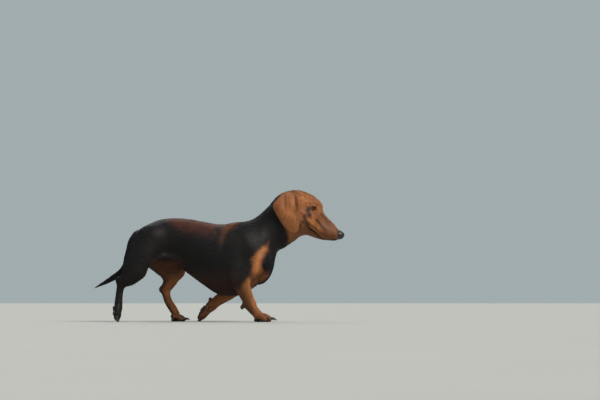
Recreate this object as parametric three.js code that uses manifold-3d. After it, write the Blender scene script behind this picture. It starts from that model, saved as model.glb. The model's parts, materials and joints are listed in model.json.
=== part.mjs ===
// A walking smooth-haired dachshund, life size, as a set of closed solids.
// Millimetres, +Z up, nose towards +X, the dog's left towards +Y, paws on Z = 0.
//
// The animal is one field: flesh(p) is negative inside the body and positive outside.
// The field is a trunk of egg-shaped sections joined softly to tapered strands, one for
// each muscle or bone. Every solid is a three.js capsule whose vertices are pushed out
// along rays until they meet that field, and is then parted from its neighbours by thin cuts.

import * as THREE from 'three';
import { mergeVertices } from 'three/addons/utils/BufferGeometryUtils.js';
import Module from 'manifold-3d';

const wasm = await Module();
wasm.setup();

const { MathUtils, Vector3 } = THREE;

const GAP = 0.3; // between touching solids
const NEAR = -1; // the dog's right side
const FAR = 1; // the dog's left side

// Looks of the coat, the bare leather, the claws and the eyes
const COAT = { color: 0x6b3a24, roughness: 0.55, metalness: 0 };
const TAN = { color: 0xa9683c, roughness: 0.6, metalness: 0 };
const LEATHER = { color: 0x1b1512, roughness: 0.4, metalness: 0 };
const HORN = { color: 0x2a211b, roughness: 0.35, metalness: 0 };
const IRIS = { color: 0x2e170b, roughness: 0.08, metalness: 0 };

// Trunk sections from croup to forechest: x, back line, belly line, half width
const TRUNK = [
  [-184, 213, 118, 38],
  [-162, 226, 124, 44],
  [-135, 236, 139, 46],
  [-105, 239, 134, 48],
  [-75, 237.5, 111, 53],
  [-40, 231.5, 85, 60],
  [-5, 225.5, 62, 65],
  [30, 226, 57, 66],
  [60, 226, 66, 64],
  [88, 218, 84, 56],
];
const RUMP_DEPTH = 27;
const FORECHEST_DEPTH = 39;
const RIB_FLARE = 0.14; // how much wider the ribs are above the middle than below it

// Strands: places [x, y, z, radius, width factor across y], then the softness of the join
const NECK = {
  nape: [[[64, 0, 172, 48, 1], [95, 0, 192, 47, 0.92], [123, 0, 214, 46, 0.84],
    [150, 0, 238, 47, 0.8], [168, 0, 255, 42, 0.88]], 20],
  throat: [[[140, 0, 192, 22, 0.9], [156, 0, 207, 26, 0.9], [178, 0, 223, 26, 0.95]], 14],
};
const SKULL = {
  cranium: [[[160, 0, 261, 38, 0.95], [180, 0, 261, 41, 0.93], [198, 0, 260, 35, 0.93]], 14],
  snout: [[[217, 0, 235, 27, 0.86], [235, 0, 223, 21.5, 0.82], [253, 0, 211, 17, 0.86],
    [267, 0, 200, 11.5, 1]], 12],
  jaw: [[[190, 0, 222, 23.5, 1], [206, 0, 213, 16.5, 1.15], [226, 0, 203, 13.5, 1.1],
    [246, 0, 196, 11, 1.05], [262, 0, 194.5, 8, 1.2]], 8],
};
// Paired strands of the face, given for the left side
const FACE = {
  brow: [[[227, 11, 264, 9, 1], [218, 20, 269, 9, 1], [202, 27, 271, 9, 1]], 11],
  cheek: [[[182, 24, 232, 20.5, 1], [204, 22, 227, 15.5, 1]], 14],
  arch: [[[182, 30, 250, 9, 1], [202, 29, 244, 9.5, 1], [219, 18, 241, 9, 1]], 14],
  flew: [[[226, 12, 215, 11, 1], [244, 10.5, 206, 11, 1], [261, 8, 199.5, 9.5, 1]], 7],
};
// Paired muscles of the trunk, given for the left side
const SHOULDER = {
  blade: [[[38, 20, 202, 22, 0.8], [66, 38, 170, 26, 0.8], [88, 42, 140, 24, 0.85]], 18],
  triceps: [[[36, 42, 166, 28, 0.7], [30, 54, 124, 23, 0.7], [31, 57, 99, 13, 0.9]], 14],
};
const FLANK = {
  fold: [[[-100, 38, 148, 9, 0.7], [-128, 45, 153, 7, 0.7], [-154, 46, 144, 10, 0.7]], 10],
};

// Legs, one set of strands each; y is given outwards from the middle
const LEGS = {
  front_right: {
    side: NEAR,
    upper: [[[88, 44, 134, 24, 0.9], [60, 54, 112, 23, 0.8], [46, 56, 97, 21, 0.8]], 14],
    forearm: [[[45, 56, 98, 21, 0.8], [54, 54, 79, 18.5, 0.78], [63, 50, 58, 15.5, 0.82],
      [70, 47, 41, 13.4, 0.95]], 10],
    pastern: [[[70, 47, 41, 13.4, 0.95], [78, 47, 28, 12.5, 1.15], [89, 48, 17, 11, 1.5]], 8],
    pad: [[[57, 47, 38, 7, 0.9], [54, 47, 34, 5.5, 0.9]], 3],
  },
  front_left: {
    side: FAR,
    upper: [[[86, 44, 132, 24, 0.9], [56, 54, 106, 23, 0.8], [36, 54, 84, 20, 0.85]], 14],
    forearm: [[[38, 54, 82, 20, 0.8], [16, 51, 64, 16.5, 0.8], [-5, 49, 50, 14, 0.85],
      [-21, 47, 37, 11.8, 0.95]], 10],
    pastern: [[[-21, 47, 37, 11.8, 0.95], [-29, 47, 29, 11.3, 1.15], [-36, 47, 22, 10.5, 1.45]], 8],
    pad: [[[-18, 47, 45, 7, 0.9], [-23, 47, 49, 6, 0.9]], 3],
  },
  hind_right: {
    side: NEAR,
    thigh: [[[-156, 30, 185, 35, 0.8], [-175, 44, 150, 29, 0.74], [-189, 47, 121, 24, 0.74]], 16],
    ham: [[[-182, 24, 172, 29, 0.9], [-192, 40, 140, 25.5, 0.8], [-200, 45, 114, 20, 0.8],
      [-212, 44, 97, 13, 0.9]], 12],
    shank: [[[-186, 47, 115, 21, 0.78], [-203, 45, 98.5, 17.5, 0.75], [-219, 42, 91, 11.5, 0.9]], 10],
    heel: [[[-220, 42, 92, 9.5, 0.9], [-229, 41, 97, 6.5, 0.9]], 6],
    pastern: [[[-222, 42, 90, 10.5, 0.9], [-226.5, 41, 64, 9.3, 0.9], [-228.5, 41, 42, 10.3, 1.15],
      [-229, 41, 30, 10.5, 1.4]], 8],
  },
  hind_left: {
    side: FAR,
    thigh: [[[-148, 30, 186, 35, 0.8], [-122, 44, 150, 29, 0.74], [-104, 47, 122, 22, 0.78]], 16],
    ham: [[[-176, 24, 170, 28, 0.9], [-152, 40, 140, 22, 0.8], [-124, 44, 112, 16, 0.8]], 12],
    shank: [[[-107, 46, 117, 21, 0.8], [-118, 45, 93, 16.5, 0.8], [-128, 43, 76, 12, 0.9]], 10],
    heel: [[[-129, 43, 75, 9.5, 0.9], [-137, 42, 75, 6.5, 0.9]], 6],
    pastern: [[[-129, 43, 73, 10.5, 0.9], [-122, 42, 48, 10.2, 0.95], [-111, 42, 30, 10.5, 1.15],
      [-104, 42, 18, 10, 1.4]], 8],
  },
};
const TAIL = {
  tail: [[[-186, 0, 174, 17, 0.9], [-199, 0, 158, 14, 0.95], [-209, 0, 136, 11.5, 1],
    [-223, 0, 116, 9.8, 1], [-239, 0, 104.5, 8, 1], [-260, 0, 92, 5.8, 1],
    [-284, 0, 79.5, 2.4, 1]], 8],
};

// Paws: the knuckles on the ground line of the paw, its forward and up directions, and size
const PAWS = {
  front_right: { at: [93, -48, 0], forward: [1, -0.14, 0], up: [0, 0, 1], size: 1 },
  front_left: { at: [-45, 47, 28.6], forward: [-0.42, 0, -0.91], up: [0.91, 0, -0.42], size: 0.96 },
  hind_right: { at: [-240.4, -41, 23.7], forward: [0.2, -0.2, -0.96], up: [0.98, 0, 0.2], size: 0.86 },
  hind_left: { at: [-104, 42, 0], forward: [1, 0.16, 0], up: [0, 0, 1], size: 0.86 },
};
// Toes across a paw of size 1, in the paw's own forward, sideways and up lengths
const TOE_SPREAD = [-16.5, -5.6, 5.6, 16.5];
const TOE_SETBACK = [8, 0, 0, 8];
const TOE = [[2, 0.7, 14, 8.4], [13, 0.95, 12, 7.6], [21.5, 1, 7, 6.9]];
const TOE_PAD = [[14, 1, 4, 4.6], [21, 1, 3.8, 4.8]];
const HEEL_PAD = [[-7, -8, 5, 6.5], [1, 0, 5, 7.8], [-7, 8, 5, 6.5]];
const CLAW = [[24, 1, 8, 2.7], [31, 1.02, 8, 2.2], [37, 1.04, 3.4, 0.7]];
const DEWCLAW = { toe: [[-14, -17, 26, 5], [-8, -19, 20, 4.6]], claw: [[-7, -19.5, 19, 2], [-2, -20, 12, 0.7]] };

// Eye, lids, nose and mouth, given for the left side
const EYE = { at: [211.5, 24.5, 259.2], radius: 9.5, look: [0.5, 0.85, 0.08], tilt: 0.12 };
const LIDS = { thick: 2.1, lift: 0.2, drop: 0.3 }; // thickness and half openings in radians
const NOSE = {
  tip: [[[270, 0, 203, 8.5, 1.2], [278.5, 0, 201, 8, 1.3]], 4],
  base: [[[272, 0, 195.5, 6, 1.2], [279, 0, 195.5, 5, 1.2]], 4],
};
const NOSE_WING = { wing: [[[275, 7, 199, 6, 1], [280.5, 6.5, 198.5, 4.8, 1]], 3] };
const NOSTRIL = [[288, 4.4, 198.5, 1.6], [281, 6.6, 199.3, 2.2], [277, 10, 197, 1.7], [275, 14, 194.5, 0.9]];
const MOUTH_LINE = [[206, 214], [212, 210], [220, 204], [228, 196.5], [236, 190.5], [246, 188], [260, 188.5], [270, 190]];
const MOUTH_CUT = 1.5;

// Ear outline, x and z round its edge, and how far out of the skull it hangs at each height
const EAR_EDGE = [[183, 250], [184, 282], [172, 298], [151, 295], [130, 278], [122, 262],
  [133, 238], [148, 215], [164, 201], [178, 204], [182.5, 225]];
const EAR_MIDDLE = [157, 250];
const EAR_HANG = [[300, 10], [295, 15], [288, 26], [276, 38], [258, 44],
  [238, 47.5], [218, 48.5], [198, 47]];
const EAR_THICK = 3.4;
const EAR_CUP = 3; // how far the rim turns in towards the cheek
const EAR_FOLDS = [[151.5, 4.2, 4.5], [174.5, 4.2, 5]]; // x, width and depth of each upright fold
const FOLD_SPAN = [252, 294];

// Catmull-Rom interpolation of rows of numbers
function smoothRows(rows, steps) {
  const out = [];
  const last = rows.length - 1;
  for (let i = 0; i < last; i += 1) {
    const [a, b, c, d] = [Math.max(i - 1, 0), i, i + 1, Math.min(i + 2, last)].map((n) => rows[n]);
    for (let k = 0; k < steps; k += 1) {
      const t = k / steps;
      out.push(b.map((_, j) => 0.5 * (2 * b[j] + (c[j] - a[j]) * t
        + (2 * a[j] - 5 * b[j] + 4 * c[j] - d[j]) * t * t
        + (3 * b[j] - a[j] - 3 * c[j] + d[j]) * t * t * t)));
    }
  }
  out.push([...rows[last]]);
  return out;
}

// A tapered run of flesh, with the ball round it that lets far points be skipped
class Strand {
  constructor([places, soft], side = 1, steps = 4) {
    this.soft = soft;
    this.rows = smoothRows(places, steps).map(([x, y, z, r, w = 1]) => [x, side * y, z, r, w]);
    const [first, last] = [this.rows[0], this.rows.at(-1)];
    this.middle = new Vector3(first[0] + last[0], first[1] + last[1], first[2] + last[2]).divideScalar(2);
    this.size = Math.max(...this.rows.map(([x, y, z, r, w]) => (
      this.middle.distanceTo(new Vector3(x, y, z)) + r * Math.max(w, 1)
    )));
  }

  distance(p) {
    let best = Infinity;
    for (let i = 0; i < this.rows.length - 1; i += 1) {
      const [ax, ay, az, ar, aw] = this.rows[i];
      const [bx, by, bz, br, bw] = this.rows[i + 1];
      const [dx, dy, dz] = [bx - ax, by - ay, bz - az];
      const along = (p.x - ax) * dx + (p.y - ay) * dy + (p.z - az) * dz;
      const t = MathUtils.clamp(along / (dx * dx + dy * dy + dz * dz), 0, 1);
      const across = (p.y - ay - t * dy) / (aw + t * (bw - aw));
      const d = Math.hypot(p.x - ax - t * dx, across, p.z - az - t * dz) - ar - t * (br - ar);
      best = Math.min(best, d);
    }
    return best;
  }
}

const isStrand = ([, value]) => Array.isArray(value);
const strands = (set, side = 1) => Object.entries(set).filter(isStrand).map(([, s]) => new Strand(s, side));
const pair = (set) => [...strands(set, NEAR), ...strands(set, FAR)];

const trunkRows = smoothRows(TRUNK, 6);

function trunk(p) {
  const x = MathUtils.clamp(p.x, TRUNK[0][0], TRUNK.at(-1)[0]);
  let i = 0;
  while (i < trunkRows.length - 2 && trunkRows[i + 1][0] < x) i += 1;
  const t = (x - trunkRows[i][0]) / (trunkRows[i + 1][0] - trunkRows[i][0]);
  const [, back, belly, half] = trunkRows[i].map((v, j) => MathUtils.lerp(v, trunkRows[i + 1][j], t));
  const height = (back - belly) / 2;
  const up = (p.z - (back + belly) / 2) / height;
  const depth = p.x < x ? RUMP_DEPTH : FORECHEST_DEPTH;
  const width = half * (1 + RIB_FLARE * MathUtils.clamp(up, -1, 1));
  return (Math.hypot(up, p.y / width, (p.x - x) / depth) - 1) * Math.min(height, half);
}

function softMin(a, b, soft) {
  const h = Math.max(soft - Math.abs(a - b), 0) / soft;
  return Math.min(a, b) - (h * h * soft) / 4;
}

// A body: a starting distance with strands joined to it one by one
function body(start, list) {
  return (p) => {
    let d = start(p);
    for (const s of list) {
      if (s.middle.distanceTo(p) - s.size < d + s.soft) d = softMin(d, s.distance(p), s.soft);
    }
    return d;
  };
}

const nothing = () => 1e3;
const headStrands = [...strands(NECK), ...strands(SKULL), ...pair(FACE)];
const legStrands = Object.fromEntries(
  Object.entries(LEGS).map(([name, set]) => [name, strands(set, set.side)]),
);
const chest = [...pair(SHOULDER), ...pair(FLANK)];
const flesh = body(trunk, [...chest, ...headStrands, ...strands(TAIL), ...Object.values(legStrands).flat()]);

// Closed three.js geometry to a solid
function solid(geometry) {
  const bare = geometry.clone();
  bare.deleteAttribute('normal');
  bare.deleteAttribute('uv');
  const merged = mergeVertices(bare, 1e-4);
  return new wasm.Manifold(new wasm.Mesh({
    numProp: 3,
    vertProperties: new Float32Array(merged.attributes.position.array),
    triVerts: new Uint32Array(merged.index.array),
  }));
}

// Distance from a start inside the field to its surface along a ray
function reach(field, from, way, longest) {
  const STEP = 3;
  const p = new Vector3();
  let near = 0;
  let far = STEP;
  while (far < longest && field(p.copy(from).addScaledVector(way, far)) < 0) {
    near = far;
    far += STEP;
  }
  if (far >= longest) return longest;
  for (let i = 0; i < 10; i += 1) {
    const middle = (near + far) / 2;
    if (field(p.copy(from).addScaledVector(way, middle)) < 0) near = middle;
    else far = middle;
  }
  return (near + far) / 2;
}

// A capsule whose vertices are pushed out from a core line to where radius(start, way) says
function wrap(core, rings, around, caps, radius) {
  const line = new THREE.CatmullRomCurve3(core.map((c) => new Vector3(...c)));
  const shape = new THREE.CapsuleGeometry(1, 2, caps, around, rings);
  const place = shape.attributes.position;
  const v = new Vector3();
  for (let i = 0; i < place.count; i += 1) {
    v.fromBufferAttribute(place, i);
    const t = MathUtils.clamp((v.y + 1) / 2, 0, 1);
    const start = line.getPointAt(t);
    const along = line.getTangentAt(t);
    const side = new Vector3(0, 1, 0).addScaledVector(along, -along.y).normalize();
    const top = new Vector3().crossVectors(side, along);
    const rest = v.y > 1 ? v.y - 1 : Math.min(v.y + 1, 0);
    const way = new Vector3().addScaledVector(side, v.x).addScaledVector(top, v.z)
      .addScaledVector(along, rest).normalize();
    start.addScaledVector(way, radius(start, way));
    place.setXYZ(i, start.x, start.y, start.z);
  }
  return solid(shape);
}

// Out to the flesh, but no further than its own strands and a collar beyond them
function onFlesh(own, collar, longest = 140) {
  return (start, way) => Math.min(
    reach(flesh, start, way, longest),
    reach(own, start, way, longest) + collar,
  );
}

// A small tapered form on its own places [x, y, z, radius], grown by extra
function rod(places, rings, around, extra = 0, caps = 2) {
  const rows = smoothRows(places, 4);
  const own = body(nothing, [new Strand([places, 1])]);
  const core = rows.map(([x, y, z]) => [x, y, z]);
  return wrap(core, rings, around, caps, (start, way) => reach(own, start, way, 30) + extra);
}

const union = (list) => list.reduce((a, b) => a.add(b));

// The side of a plane through a point that its normal points to, drawn back by some slack
function cut(shape, [point, normal], slack = 0) {
  const n = new Vector3(...normal).normalize();
  return shape.trimByPlane(n.toArray(), n.dot(new Vector3(...point)) + slack);
}

const flip = ([point, normal]) => [point, normal.map((n) => -n)];
const beyond = (shape, plane) => cut(shape, plane, GAP / 2);
const before = (shape, plane) => cut(shape, flip(plane), GAP / 2);

const group = new THREE.Group();
group.name = 'dachshund';

// Adds the largest closed body of a shape as a named node
function add(name, shape, look) {
  const bodies = shape.decompose();
  const biggest = bodies.reduce((a, b) => (b.volume() > a.volume() ? b : a));
  const mesh = biggest.getMesh();
  const geometry = new THREE.BufferGeometry();
  geometry.setAttribute('position', new THREE.BufferAttribute(new Float32Array(mesh.vertProperties), 3));
  geometry.setIndex(new THREE.BufferAttribute(new Uint32Array(mesh.triVerts), 1));
  geometry.computeVertexNormals();
  const node = new THREE.Mesh(geometry, new THREE.MeshStandardMaterial(look));
  node.name = name;
  group.add(node);
}

const FLOOR = [[0, 0, 0], [0, 0, 1]];

// Thin cuts: a point on each and the way to the part further from the trunk
const NECK_CUT = [[88, 0, 192], [0.74, 0, 0.67]];
const HEAD_CUT = [[154, 0, 240], [0.935, 0, 0.355]];
const TAIL_CUT = [[-214, 0, 131], [-0.75, 0, -0.66]];
const LEG_CUTS = {
  front_right: { root: [[45, -52, 96.5], [0, -0.907, -0.42]], wrist: [[71, 0, 39], [0.5, 0, -0.87]] },
  front_left: { root: [[45, 52, 96.5], [0, 0.907, -0.42]], wrist: [[-20, 0, 38], [-0.78, 0, -0.62]] },
  hind_right: {
    root: [[-190, -26, 150], [-0.35, -0.87, -0.35]],
    knee: [[-199, 0, 110], [-0.25, 0, -0.97]],
    hock: [[-220, 0, 90], [-0.9, 0, -0.43]],
    wrist: [[-231, 0, 36], [0, 0, -1]],
  },
  hind_left: {
    root: [[-140, 30, 150], [-0.31, 0.88, -0.36]],
    knee: [[-112, 0, 108], [-0.3, 0, -0.95]],
    hock: [[-127, 0, 78.5], [-0.34, 0, -0.94]],
    wrist: [[-113, 0, 34], [0.45, 0, -0.89]],
  },
};
const LEG_CORES = {
  front_right: [[66, -49, 118], [57, -53, 99], [57, -53, 79], [63, -50, 58], [70, -47, 41], [78, -47, 28], [87, -48, 19]],
  front_left: [[56, 50, 106], [36, 54, 84], [16, 51, 64], [-5, 49, 50], [-21, 47, 37], [-29, 47, 29], [-35, 47, 23]],
  hind_right: [[-163, -34, 178], [-182, -44, 140], [-196, -46, 112], [-218, -42, 91.5], [-227, -41, 70], [-230, -41, 44], [-232, -41, 31]],
  hind_left: [[-153, 34, 178], [-127, 44, 145], [-112, 46, 112], [-126, 43, 77], [-121, 42, 50], [-111, 42, 30], [-105, 42, 19]],
};

const LEG_RINGS = 17;
const LEG_ROUND = 13;
const LEG_COLLAR = 12; // how far a leg's solid reaches past its own strands inside the body
const LEG_CLEAR = 5; // how much of the trunk's skin goes where a leg lies over it

// A paw's own forward, sideways and up lengths to the model's frame
function pawFrame({ at, forward, up, size }) {
  const f = new Vector3(...forward).normalize();
  const u = new Vector3(...up).addScaledVector(f, -f.dot(new Vector3(...up))).normalize();
  const s = new Vector3().crossVectors(u, f);
  return ([ahead, aside, above, radius]) => [
    ...new Vector3(...at).addScaledVector(f, ahead * size).addScaledVector(s, aside * size)
      .addScaledVector(u, above * size).toArray(),
    radius * size,
  ];
}

const toePlaces = (places, k) => places.map(([a, spread, u, r]) => [a - TOE_SETBACK[k], spread * TOE_SPREAD[k], u, r]);

function addPaw(name, palm) {
  const frame = pawFrame(PAWS[name]);
  const toes = TOE_SPREAD.map((_, k) => toePlaces(TOE, k).map(frame));
  const pads = TOE_SPREAD.map((_, k) => toePlaces(TOE_PAD, k).map(frame));
  const pieces = [
    palm,
    ...toes.map((toe) => rod(toe, 3, 7)),
    ...pads.map((pad) => rod(pad, 1, 6, 0, 1)),
    rod(HEEL_PAD.map(frame), 3, 6),
  ];
  const inner = (places) => places.map(([a, w, u, r]) => frame([a, LEGS[name].side * w, u, r]));
  const claws = TOE_SPREAD.map((_, k) => [`claw_${name}_${k + 1}`, toePlaces(CLAW, k).map(frame)]);
  if (name.startsWith('front')) {
    pieces.push(rod(inner(DEWCLAW.toe), 2, 6));
    claws.push([`dewclaw_${name}`, inner(DEWCLAW.claw)]);
  }
  const sockets = union(claws.map(([, places]) => rod(places, 2, 6, GAP, 1)));
  add(`paw_${name}`, cut(beyond(union(pieces), LEG_CUTS[name].wrist), FLOOR).subtract(sockets), TAN);
  claws.forEach(([node, places]) => add(node, cut(rod(places, 2, 6, 0, 1), FLOOR), HORN));
}

function addLeg(name) {
  const own = body(nothing, legStrands[name]);
  const whole = wrap(LEG_CORES[name], LEG_RINGS, LEG_ROUND, 3, onFlesh(own, LEG_COLLAR));
  const leg = beyond(whole, LEG_CUTS[name].root);
  const { knee, hock, wrist } = LEG_CUTS[name];
  if (knee) {
    add(`thigh_${name}`, before(leg, knee), COAT);
    add(`shank_${name}`, before(beyond(leg, knee), hock), COAT);
    add(`pastern_${name}`, before(beyond(beyond(leg, knee), hock), wrist), TAN);
  } else {
    add(`forearm_${name}`, before(leg, wrist), TAN);
  }
  addPaw(name, beyond(leg, wrist));
}

// The trunk less the room that each leg takes, with a little more over the open skin
function withoutLegs(shape) {
  return Object.keys(LEGS).reduce((left, name) => {
    const own = body(nothing, legStrands[name]);
    const room = wrap(LEG_CORES[name], LEG_RINGS, LEG_ROUND, 3, (start, way) => Math.min(
      reach(flesh, start, way, 140) + LEG_CLEAR,
      reach(own, start, way, 140) + LEG_COLLAR + GAP,
    ));
    return left.subtract(cut(room, LEG_CUTS[name].root, -GAP / 2));
  }, shape);
}

const torso = wrap(
  [[-178, 0, 168], [-130, 0, 190], [-60, 0, 178], [20, 0, 155], [84, 0, 152]],
  23, 26, 5, onFlesh(body(trunk, chest), 22),
);
add('torso', before(beyond(withoutLegs(torso), flip(TAIL_CUT)), NECK_CUT), COAT);

const tail = wrap(
  [[-200, 0, 158], [-210, 0, 138], [-223, 0, 117], [-239, 0, 105.5], [-260, 0, 93], [-283, 0, 80]],
  11, 10, 2, onFlesh(body(nothing, strands(TAIL)), 8),
);
add('tail', beyond(tail, TAIL_CUT), COAT);

// The side surface of the head and neck above a point of the middle plane
const headOnly = body(nothing, headStrands);
const sideAt = (x, z) => reach(flesh, new Vector3(x, 0, z), new Vector3(0, 1, 0), 80);
const both = (shape) => [[shape.mirror([0, 1, 0]), 'right'], [shape, 'left']];

const headCore = [[70, 0, 176], [120, 0, 213], [165, 0, 247], [205, 0, 242], [238, 0, 218], [264, 0, 200]];
const onHead = onFlesh(headOnly, 20);
const neckHead = wrap(headCore, 36, 28, 4, onHead);
const neckHeadGrown = wrap(headCore, 36, 28, 4, (start, way) => onHead(start, way) + GAP);

// Nose leather with its two comma-shaped nostrils
function noseForm(extra) {
  const field = body(nothing, [...strands(NOSE), ...pair(NOSE_WING)]);
  return wrap(
    [[270, 0, 201], [279, 0, 200]], 4, 14, 3,
    (start, way) => reach(field, start, way, 40) + extra,
  );
}
const nostrils = [NEAR, FAR].map((side) => rod(NOSTRIL.map(([x, y, z, r]) => [x, side * y, z, r]), 5, 6));
add('nose', noseForm(0).subtract(union(nostrils)), LEATHER);

// Eyes, and the lids as two wedges of a shell round each one
function ball(radius, segments) {
  const sphere = new THREE.SphereGeometry(radius, segments, Math.round(segments / 2));
  const look = new Vector3(...EYE.look).normalize();
  const corners = new Vector3(0, 0, 1).cross(look).normalize().applyAxisAngle(look, EYE.tilt);
  const up = new Vector3().crossVectors(look, corners);
  sphere.applyMatrix4(new THREE.Matrix4().makeBasis(look, corners, up));
  return { shape: solid(sphere.translate(...EYE.at)), look, corners };
}
const eyeball = ball(EYE.radius, 16);
const socket = ball(EYE.radius + GAP, 16).shape;
const lidShell = ball(EYE.radius + LIDS.thick, 18).shape.subtract(socket);
const lidPlane = (angle, sense) => [EYE.at, eyeball.look.clone()
  .applyAxisAngle(eyeball.corners, angle + (sense * Math.PI) / 2).toArray()];
const lids = [
  cut(lidShell, lidPlane(-LIDS.lift, -1)),
  cut(lidShell, lidPlane(LIDS.drop, 1)),
];
both(eyeball.shape).forEach(([shape, side]) => add(`eye_${side}`, shape, IRIS));

// Ears: thin curved flaps, seated on the skull at the top and hanging clear of the cheek
function earForm() {
  const edge = new THREE.CatmullRomCurve3(EAR_EDGE.map(([x, z]) => new Vector3(x, 0, z)), true)
    .getPoints(160).map(({ x, z }) => [x - EAR_MIDDLE[0], z - EAR_MIDDLE[1]]);
  const turn = (x, z) => Math.atan2(z, x);
  const reachOf = (angle) => {
    const nearest = edge.reduce((a, b) => (
      Math.cos(turn(...b) - angle) > Math.cos(turn(...a) - angle) ? b : a));
    return Math.hypot(...nearest);
  };
  const shape = new THREE.SphereGeometry(1, 24, 11);
  const place = shape.attributes.position;
  for (let i = 0; i < place.count; i += 1) {
    const [a, face, b] = [place.getX(i), place.getY(i), place.getZ(i)];
    const out = Math.hypot(a, b);
    const size = out > 1e-6 ? reachOf(Math.atan2(b, a)) : 0;
    const [x, z] = [EAR_MIDDLE[0] + a * size, EAR_MIDDLE[1] + b * size];
    const seat = MathUtils.smoothstep(z, 284, 292);
    const close = sideAt(x, z) + MathUtils.lerp(2.4, -1.6, seat);
    const upright = MathUtils.smoothstep(z, FOLD_SPAN[0], FOLD_SPAN[0] + 14)
      - MathUtils.smoothstep(z, FOLD_SPAN[1] - 6, FOLD_SPAN[1] + 4);
    const fold = EAR_FOLDS.reduce((sum, [at, width, depth]) => (
      sum + depth * Math.exp(-(((x - at) / width) ** 2))), 0);
    const hang = hangAt(z) - EAR_CUP * out ** 3 * MathUtils.smoothstep(290 - z, 0, 20);
    const middle = Math.max(close, hang - fold * upright);
    place.setXYZ(i, x, middle + (face * EAR_THICK) / 2, z);
  }
  return solid(shape);
}
const hangRows = smoothRows(EAR_HANG, 5);
function hangAt(z) {
  const i = Math.max(hangRows.findIndex(([height]) => height <= z), 1);
  const [[za, ya], [zb, yb]] = [hangRows[i - 1], hangRows[i]];
  return MathUtils.lerp(ya, yb, MathUtils.clamp((z - za) / (zb - za), 0, 1));
}
both(earForm()).forEach(([shape, side]) => add(`ear_${side}`, shape.subtract(neckHeadGrown), TAN));

// Line of the mouth under the upper lip on both sides
const lip = MOUTH_LINE.map(([x, z]) => [x, sideAt(x, z) - 0.2, z, MOUTH_CUT]);
const mouth = rod(lip, 16, 5);
const faceCuts = [socket, mouth].flatMap((shape) => both(shape).map(([s]) => s));
const faceExtras = lids.flatMap((shape) => both(shape).map(([s]) => s));
const face = union([neckHead.subtract(union(faceCuts)), ...faceExtras]).subtract(noseForm(GAP));

add('neck', before(beyond(neckHead, NECK_CUT), HEAD_CUT), COAT);
add('head', beyond(face, HEAD_CUT), TAN);

Object.keys(LEGS).forEach(addLeg);

export default group;
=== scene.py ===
# A walking smooth-haired dachshund, life size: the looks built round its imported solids.
# Lengths in the tables are millimetres in the part's frame: nose to +X, left to +Y, up +Z.

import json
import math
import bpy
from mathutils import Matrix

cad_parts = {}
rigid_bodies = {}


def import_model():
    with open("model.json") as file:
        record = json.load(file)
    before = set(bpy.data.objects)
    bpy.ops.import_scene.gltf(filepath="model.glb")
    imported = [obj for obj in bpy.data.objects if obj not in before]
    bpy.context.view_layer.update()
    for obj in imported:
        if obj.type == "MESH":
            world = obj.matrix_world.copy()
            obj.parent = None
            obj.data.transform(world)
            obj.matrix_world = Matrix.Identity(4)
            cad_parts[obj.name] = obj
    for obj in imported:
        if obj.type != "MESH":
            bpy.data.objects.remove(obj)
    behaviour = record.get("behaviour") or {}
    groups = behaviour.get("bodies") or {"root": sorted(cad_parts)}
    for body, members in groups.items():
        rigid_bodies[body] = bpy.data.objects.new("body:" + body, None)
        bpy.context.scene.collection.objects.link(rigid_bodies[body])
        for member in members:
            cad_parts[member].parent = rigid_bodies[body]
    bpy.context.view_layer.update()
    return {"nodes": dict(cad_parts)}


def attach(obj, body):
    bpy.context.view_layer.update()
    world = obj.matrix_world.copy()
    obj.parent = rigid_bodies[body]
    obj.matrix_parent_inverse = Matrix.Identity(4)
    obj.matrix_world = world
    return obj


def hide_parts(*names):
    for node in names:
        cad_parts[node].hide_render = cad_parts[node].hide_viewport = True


bl_info = {
    "name": "Walking dachshund",
    "version": (1, 0, 0),
    "blender": (4, 5, 0),
    "location": "3D View > Sidebar > Dachshund",
    "description": "Skin, coat, eyes, nose, pads and claws of a walking smooth-haired dachshund",
    "category": "Object",
}

import bmesh
import bpy
import numpy as np
from bpy.props import FloatProperty, FloatVectorProperty, IntProperty, PointerProperty
from mathutils import Matrix, Vector, noise

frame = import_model()

MM = 0.001
SIDES = NEAR, FAR = -1, 1  # the dog's right and left sides
FLESH_NODES = [n for n in frame["nodes"] if not n.startswith(("eye", "nose", "claw", "dewclaw"))]

# Trunk sections from croup to forechest: x, back line, belly line, half width
TRUNK = [
    (-184, 213, 118, 38), (-162, 226, 124, 44), (-135, 236, 139, 46), (-105, 239, 134, 48),
    (-75, 237.5, 111, 53), (-40, 231.5, 85, 60), (-5, 225.5, 62, 65), (30, 226, 57, 66),
    (60, 226, 66, 64), (88, 218, 84, 56),
]
RUMP_DEPTH = 27
FORECHEST_DEPTH = 39
RIB_FLARE = 0.14

# Strands of flesh: places (x, y, z, radius, and width factor across y if not 1), then the join's softness
MIDDLE = [
    ([(64, 0, 172, 48), (95, 0, 192, 47, 0.92), (123, 0, 214, 46, 0.84),
      (150, 0, 238, 47, 0.8), (168, 0, 255, 42, 0.88)], 20),
    ([(140, 0, 192, 22, 0.9), (156, 0, 207, 26, 0.9), (178, 0, 223, 26, 0.95)], 14),
    ([(160, 0, 261, 38, 0.95), (180, 0, 261, 41, 0.93), (198, 0, 260, 35, 0.93)], 14),
    ([(217, 0, 235, 27, 0.86), (235, 0, 223, 21.5, 0.82), (253, 0, 211, 17, 0.86),
      (267, 0, 200, 11.5)], 12),
    ([(190, 0, 222, 23.5), (206, 0, 213, 16.5, 1.15), (226, 0, 203, 13.5, 1.1),
      (246, 0, 196, 11, 1.05), (262, 0, 194.5, 8, 1.2)], 8),
    ([(-186, 0, 174, 17, 0.9), (-199, 0, 158, 14, 0.95), (-209, 0, 136, 11.5),
      (-223, 0, 116, 9.8), (-239, 0, 104.5, 8), (-260, 0, 92, 5.8),
      (-284, 0, 79.5, 2.4)], 8),
]
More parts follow.
